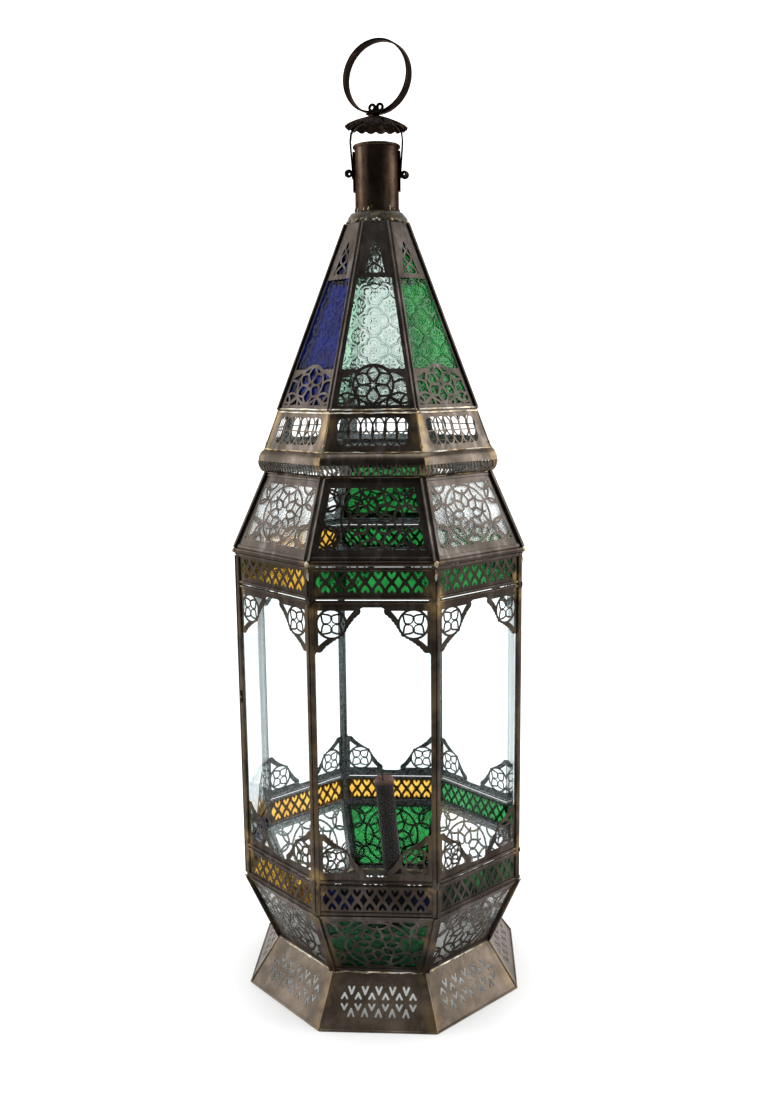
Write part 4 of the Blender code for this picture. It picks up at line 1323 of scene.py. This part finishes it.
def make_neck():
    low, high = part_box("chimney")
    collar_low, collar_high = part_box("collar")
    radius = high.y - 1.3 * MM
    wall = 0.8 * MM
    rim = high.z
    roll = []
    for a in np.linspace(2.2, -1.8, 9):
        roll.append((radius + 0.5 * MM + 1.3 * MM * math.cos(a), rim - 1.5 * MM + 1.5 * MM * math.sin(a)))
    profile = [(radius - wall, low.z), (radius - wall, rim - 0.6 * MM), *roll]
    profile += [(radius, rim - 3.6 * MM), (radius, low.z)]
    build = Build()
    build.turned(profile[::-1], steps=64, wobble=0.12 * MM)
    pivot = JOINTS["bail_swing"]["pos_m"][2]
    for side in (-1, 1):
        x = side * (radius - 0.1 * MM)
        path = [(x, 0, pivot + away * MM) for away in (-15.5, -9.0, 12.0, 21.0)]
        build.sweep(path, rounded(8.0 * MM, 1.8 * MM, 0.5 * MM, 2), Vector((side, 0, 0)), slot=1)
    build.piece("chimney_tube", [MATERIALS["tube"], MATERIALS["wire"]], stands_for=["chimney"])
    build = Build()
    foot = collar_high.x
    wide = [(radius + 0.2 * MM, collar_high.z + 1.0 * MM), (radius + 5.0 * MM, collar_high.z - 1.5 * MM)]
    wide += [(foot - 3.6 * MM, collar_low.z + 5.4 * MM), (foot - 2.6 * MM, collar_low.z + 0.4 * MM)]
    wide += [(foot - 4.5 * MM, collar_low.z - 0.6 * MM), (radius - 0.2 * MM, collar_high.z - 2.8 * MM)]
    build.turned(wide, steps=72, wobble=1.3 * MM)
    for index in range(58):
        spread = Vector((index * 1.7, 2.0, 0))
        angle = 2 * math.pi * (index * 0.618 + 0.2 * noise.noise(spread))
        out = Vector((math.cos(angle), math.sin(angle), 0))
        size = (1.2 + 0.9 * noise.noise(spread * 1.9)) * MM
        if index % 2:
            above = (1.6 + 2.4 * noise.noise(spread * 3.1)) * MM
            place = out * (foot - 2.9 * MM) + UP * (collar_low.z + above)
            build.lump(place, (size * 1.4, size * 1.4, size), index * 1.9, slot=1)
        else:
            above = (2.6 + 3.6 * noise.noise(spread * 3.1)) * MM
            place = out * (radius - 0.1 * MM) + UP * (collar_high.z + above)
            build.lump(place, (size * 0.8, size * 0.8, size * 1.7), index * 1.9, slot=index % 3 > 0)
    both = [MATERIALS["dull"], MATERIALS["solder"]]
    build.piece("collar_solder", both, stands_for=["collar"], slot="solder")


def curl(centre, radius, first, turns, across, up, steps=20, drift=Vector((0, 0, 0))):
    """Points of a wire curled in the plane of across and up."""
    points = []
    for step in range(steps + 1):
        angle = first + 2 * math.pi * turns * step / steps
        spoke = (across * math.cos(angle) + up * math.sin(angle)) * radius
        points.append(centre + spoke + drift * step / steps)
    return points


def make_pivots():
    """Two wires through the straps, each ending in a curl outside the bail."""
    for side, name in ((-1, "left"), (1, "right")):
        low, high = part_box(f"{name}_pivot_pin")
        pivot = JOINTS["bail_swing"]["pos_m"][2]
        inner = low.x if side > 0 else high.x
        outward = Vector((side, 0, 0))
        eye = Vector((side * 27.0 * MM, 0, pivot + (-0.8 if side > 0 else 1.8) * MM))
        path = [Vector((inner, 0, pivot)), Vector((side * 24.4 * MM, 0, pivot))]
        path += curl(eye, 2.8 * MM, math.pi + 0.5, 1.2, outward, -UP, 24, Vector((0, -1.4 * MM, 0)))
        second = eye + Vector((-side * 0.9, -2.2, 0.8 * side)) * MM
        path += curl(second, 2.0 * MM, math.pi - 1.2, 1.1, outward, UP, 20)
        build = Build()
        build.wire(path, 1.25 * MM)
        build.piece(f"{name}_pivot_wire", [MATERIALS["wire"]], stands_for=[f"{name}_pivot_pin"], slot="wire")


def make_bail():
    low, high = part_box("bail")
    pivot = JOINTS["bail_swing"]["pos_m"][2]
    arm = high.x - 1.6 * MM
    bend = pivot + 31.0 * MM
    crown = high.z - 0.6 * MM
    path = [(arm - 1.1 * MM, 0, low.z + 0.2 * MM), (arm - 1.0 * MM, 0, pivot + 4 * MM)]
    path += [(arm - 0.1 * MM, 0, pivot + 16 * MM), (arm + 0.6 * MM, 0, pivot + 25 * MM)]
    for step in range(13):
        angle = math.pi * step / 12
        path.append(((arm + 0.9 * MM) * math.cos(angle), 0, bend + (crown - bend) * math.sin(angle) ** 0.75))
    path += [(-x, 0, z) for x, _, z in path[3::-1]]
    build = Build()
    rings = []
    points = [Vector(point) for point in path]
    for index, point in enumerate(points):
        along = (points[min(index + 1, len(points) - 1)] - points[max(index - 1, 0)]).normalized()
        out = Vector((0, 1, 0)).cross(along)
        shape = rounded(6.0 * MM, 1.6 * MM, 0.5 * MM, 2)
        rings.append([point + Vector((0, 1, 0)) * a + out * (b - 0.8 * MM) for a, b in shape])
    build.add_rings(rings)
    build.piece("bail_strap", [MATERIALS["strap"]], body="bail", stands_for=["bail"])


def make_cap():
    """A pleated cap: flutes that deepen towards a scalloped, drooping rim."""
    low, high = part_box("cap")
    radius = high.x
    pleats, steps, rows = 19, 19 * 12, 14
    build = Build()
    rings = []
    for step in range(steps):
        angle = 2 * math.pi * step / steps
        out = Vector((math.cos(angle), math.sin(angle), 0))
        wave = math.cos(pleats * angle) + 0.25 * math.cos(2 * pleats * angle)
        lop = 0.8 * MM * noise.noise(out * 1.6)
        outer = []
        for row in range(rows + 1):
            share = row / rows
            away = 1.6 * MM + (radius - 1.0 * MM - 1.6 * MM) * share
            away += 0.6 * MM * wave * share**3
            fall = max(0.0, share - 0.22) / 0.78
            height = high.z - (high.z - low.z - 1.6 * MM) * (0.75 * fall + 0.25 * fall**3)
            height += (0.95 * MM * wave + lop) * share**1.6
            height += away * (0.055 * out.y - 0.035 * out.x)
            outer.append(out * away + UP * height)
        rings.append(outer + [point - UP * 0.7 * MM for point in outer[::-1]])
    build.add_rings(rings, closed=True)
    build.piece("pleated_cap", [MATERIALS["strap"]], body="bail", stands_for=["cap"], smooth=50)


def make_ring():
    """A strap bent round, its two ends lapped at the bottom, on a split pin with curled ends."""
    low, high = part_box("hanging_ring")
    centre = Vector((1.3 * MM, 0, (low.z + high.z) / 2))
    radius = (high.z - low.z) / 2 - 0.6 * MM
    turn = math.radians(-22.0)
    across = Vector((math.cos(turn), math.sin(turn), 0))
    axis = Vector((-across.y, across.x, 0))
    rings = []
    first, last = math.radians(-107), math.radians(281)
    steps = 96
    for step in range(steps + 1):
        share = step / steps
        angle = first + (last - first) * share
        out = across * math.cos(angle) + UP * math.sin(angle)
        away = radius + 0.35 * MM * math.sin(2 * angle + 0.6)
        if angle < -math.pi / 2:
            away = away / math.cos(angle + math.pi / 2)
        away -= 1.35 * MM * max(0.0, 1 - (last - angle) / math.radians(42)) ** 0.6
        half = 5.7 * MM * min(1.0, 0.75 + 6 * min(share, 1 - share))
        shape = rounded(2 * half, 1.7 * MM, 0.6 * MM, 2)
        skew = 0.03 * math.sin(angle + 0.4)
        flat = (axis + out * skew).normalized()
        rings.append([centre + out * away + flat * a + out * (b - 1.1 * MM) for a, b in shape])
    build = Build()
    build.add_rings(rings)
    build.piece("ring_strap", [MATERIALS["strap"]], body="ring", stands_for=["hanging_ring"])
    pin_low, pin_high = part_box("swivel_pin")
    build = Build()
    bottom = low.z
    for side in (-1, 1):
        stem = across * side * 0.8 * MM
        eye = across * side * 3.9 * MM + UP * (bottom + 6.4 * MM)
        path = [stem + UP * pin_low.z, stem + UP * (bottom + 1.0 * MM)]
        path += curl(eye, 2.8 * MM, math.pi + 0.4, 1.05, across * side, -UP, 22, axis * 0.9 * MM * side)
        build.wire(path, 1.35 * MM)
    build.lump(UP * (pin_low.z + 0.8 * MM), (2.3 * MM, 2.3 * MM, 0.9 * MM), 2.0)
    build.lump(UP * (bottom - 0.2 * MM), (3.4 * MM, 2.6 * MM, 1.3 * MM), 6.0, slot=1)
    materials = [MATERIALS["wire"], MATERIALS["wire"]]
    build.piece("split_pin", materials, body="ring", stands_for=["swivel_pin"], slot="wire")



# ---------------------------------------------------------------- candle and its dish

def make_candle():
    low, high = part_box("candle")
    axis = Vector(JOINTS["candle_lift"]["axis"]).normalized()
    points = corners("candle")
    along = points @ np.array(axis)
    foot = Vector(points[along < along.min() + 0.2 * MM].mean(0))
    head = Vector(points[along > along.max() - 0.2 * MM].mean(0))
    radius = (high.y - low.y) / 2
    length = (head - foot).length
    side = Vector((0, 1, 0)).cross(axis).normalized()
    across = axis.cross(side)
    profile = [(0.0, 0.0), (radius * 0.90, 0.0), (radius * 0.985, 0.010)]
    profile += [(radius * (0.985 - 0.05 * t), t) for t in (0.2, 0.4, 0.6, 0.8, 0.93)]
    profile += [(radius * 1.02, 0.965), (radius * 1.04, 0.985), (radius * 0.90, 1.002)]
    profile += [(radius * 0.62, 0.990), (radius * 0.20, 0.975), (0.0, 0.972)]
    build = Build()
    rings = []
    steps = 40
    for share_radius, height in profile:
        ring_points = []
        for step in range(steps):
            angle = 2 * math.pi * step / steps
            spot = Vector((math.cos(angle) * 1.4, math.sin(angle) * 1.4, height * 9.0))
            bump = 1 + 0.05 * noise.noise(spot)
            drip = 0.0
            if height > 0.9:
                drip = 0.012 * noise.noise(Vector((math.cos(angle) * 2.2, math.sin(angle) * 2.2, 7.0)))
            place = (side * math.cos(angle) + across * math.sin(angle)) * share_radius * bump
            ring_points.append(foot + axis * (height + drip) * length + place)
        rings.append(ring_points)
    build.add_rings(rings[1:-1])
    build.piece(
        "candle_stick", [MATERIALS["wax"]], body="candle", stands_for=["candle"], slot="wax", smooth=60
    )
    build = Build()
    wick_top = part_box("wick")[1].z - head.z
    path = []
    for step in range(9):
        share = step / 8
        lean = -side * (0.6 + 3.2 * share**2) * MM
        path.append(head + axis * (-3.0 * MM + (wick_top + 3.0 * MM) * share) + lean)
    build.wire(path, 0.75 * MM)
    build.piece("candle_wick", [MATERIALS["wick"]], body="candle", stands_for=["wick"], slot="wick")
    for node in ("candle_strap", "candle_dish"):
        NODES[node].data.materials.clear()
        NODES[node].data.materials.append(MATERIALS["wire"])


# ---------------------------------------------------------------- floor, light and camera

def make_stage():
    bpy.ops.mesh.primitive_circle_add(vertices=128, radius=1.5, fill_type="NGON")
    floor = bpy.context.object
    floor.name = "floor"
    material = bpy.data.materials.new("pale_floor")
    material.use_nodes = True
    shader = material.node_tree.nodes["Principled BSDF"]
    shader.inputs["Base Color"].default_value = (0.93, 0.93, 0.93, 1.0)
    shader.inputs["Roughness"].default_value = 0.9
    shader.inputs["Specular IOR Level"].default_value = 0.1
    shader.inputs["Emission Color"].default_value = (1.0, 1.0, 1.0, 1.0)
    shader.inputs["Emission Strength"].default_value = 0.0
    floor.data.materials.append(material)


def make_world():
    """A white room, dark on the front panels' side so that their metal stays dark, with a white backdrop."""
    world = bpy.data.worlds.new("studio")
    bpy.context.scene.world = world
    world.use_nodes = True
    tree = world.node_tree
    back = tree.nodes["Background"]
    place = tree.nodes.new("ShaderNodeTexCoord")
    split = tree.nodes.new("ShaderNodeSeparateXYZ")
    ramp = tree.nodes.new("ShaderNodeMapRange")
    ramp.interpolation_type = "SMOOTHSTEP"
    ramp.inputs["From Min"].default_value = -0.82
    ramp.inputs["From Max"].default_value = -0.28
    ramp.inputs["To Min"].default_value = 0.07
    ramp.inputs["To Max"].default_value = 1.15
    path = tree.nodes.new("ShaderNodeLightPath")
    seen = tree.nodes.new("ShaderNodeMath")
    seen.operation = "MULTIPLY"
    seen.inputs[1].default_value = BACKDROP
    bright = tree.nodes.new("ShaderNodeMath")
    bright.operation = "MAXIMUM"
    tree.links.new(place.outputs["Generated"], split.inputs[0])
    tree.links.new(split.outputs["Y"], ramp.inputs["Value"])
    tree.links.new(ramp.outputs["Result"], bright.inputs[0])
    tree.links.new(path.outputs["Is Camera Ray"], seen.inputs[0])
    tree.links.new(seen.outputs[0], bright.inputs[1])
    tree.links.new(bright.outputs[0], back.inputs["Strength"])
    back.inputs["Color"].default_value = (1.0, 1.0, 1.0, 1.0)


def make_lamp(name, place, target, size, power):
    data = bpy.data.lights.new(name, "AREA")
    data.shape = "RECTANGLE"
    data.size, data.size_y = size
    data.energy = power
    lamp = bpy.data.objects.new(name, data)
    lamp.location = place
    lamp.rotation_euler = (Vector(target) - Vector(place)).to_track_quat("-Z", "Y").to_euler()
    bpy.context.scene.collection.objects.link(lamp)


def make_camera():
    data = bpy.data.cameras.new("camera")
    data.lens = CAMERA_LENS
    data.sensor_width = 36.0
    camera = bpy.data.objects.new("camera", data)
    bpy.context.scene.collection.objects.link(camera)
    turn = (
        Matrix.Rotation(CAMERA_ANGLE, 4, "Z")
        @ Matrix.Translation((0, -CAMERA_DISTANCE, CAMERA_HEIGHT))
        @ Matrix.Rotation(-CAMERA_PAN, 4, "Z")
        @ Matrix.Rotation(CAMERA_PITCH, 4, "X")
        @ Matrix.Rotation(-CAMERA_ROLL, 4, "Y")
        @ Matrix.Rotation(math.pi / 2, 4, "X")
    )
    camera.matrix_world = turn
    bpy.context.scene.camera = camera


def main():
    make_camera()
    make_plinth()
    make_taper()
    for face in range(SIDES):
        make_side(face)
    make_corner_solder()
    make_door_fittings()
    make_eave()
    make_shoulder()
    make_bead()
    make_gallery()
    make_spire()
    make_neck()
    make_pivots()
    make_bail()
    make_cap()
    make_ring()
    make_candle()
    make_stage()
    make_world()
    middle = (0.0, 0.0, (CAD_LOW.z + CAD_HIGH.z) / 2)
    make_lamp("left_softbox", (-2.1, 0.1, 1.2), middle, (0.9, 1.8), 20.0)
    make_lamp("right_softbox", (2.1, 0.1, 1.1), middle, (0.9, 1.8), 24.0)
    make_lamp("top_softbox", (0.0, 0.2, 2.6), middle, (2.0, 2.0), 30.0)
    bpy.context.scene.view_settings.view_transform = "Standard"


main()
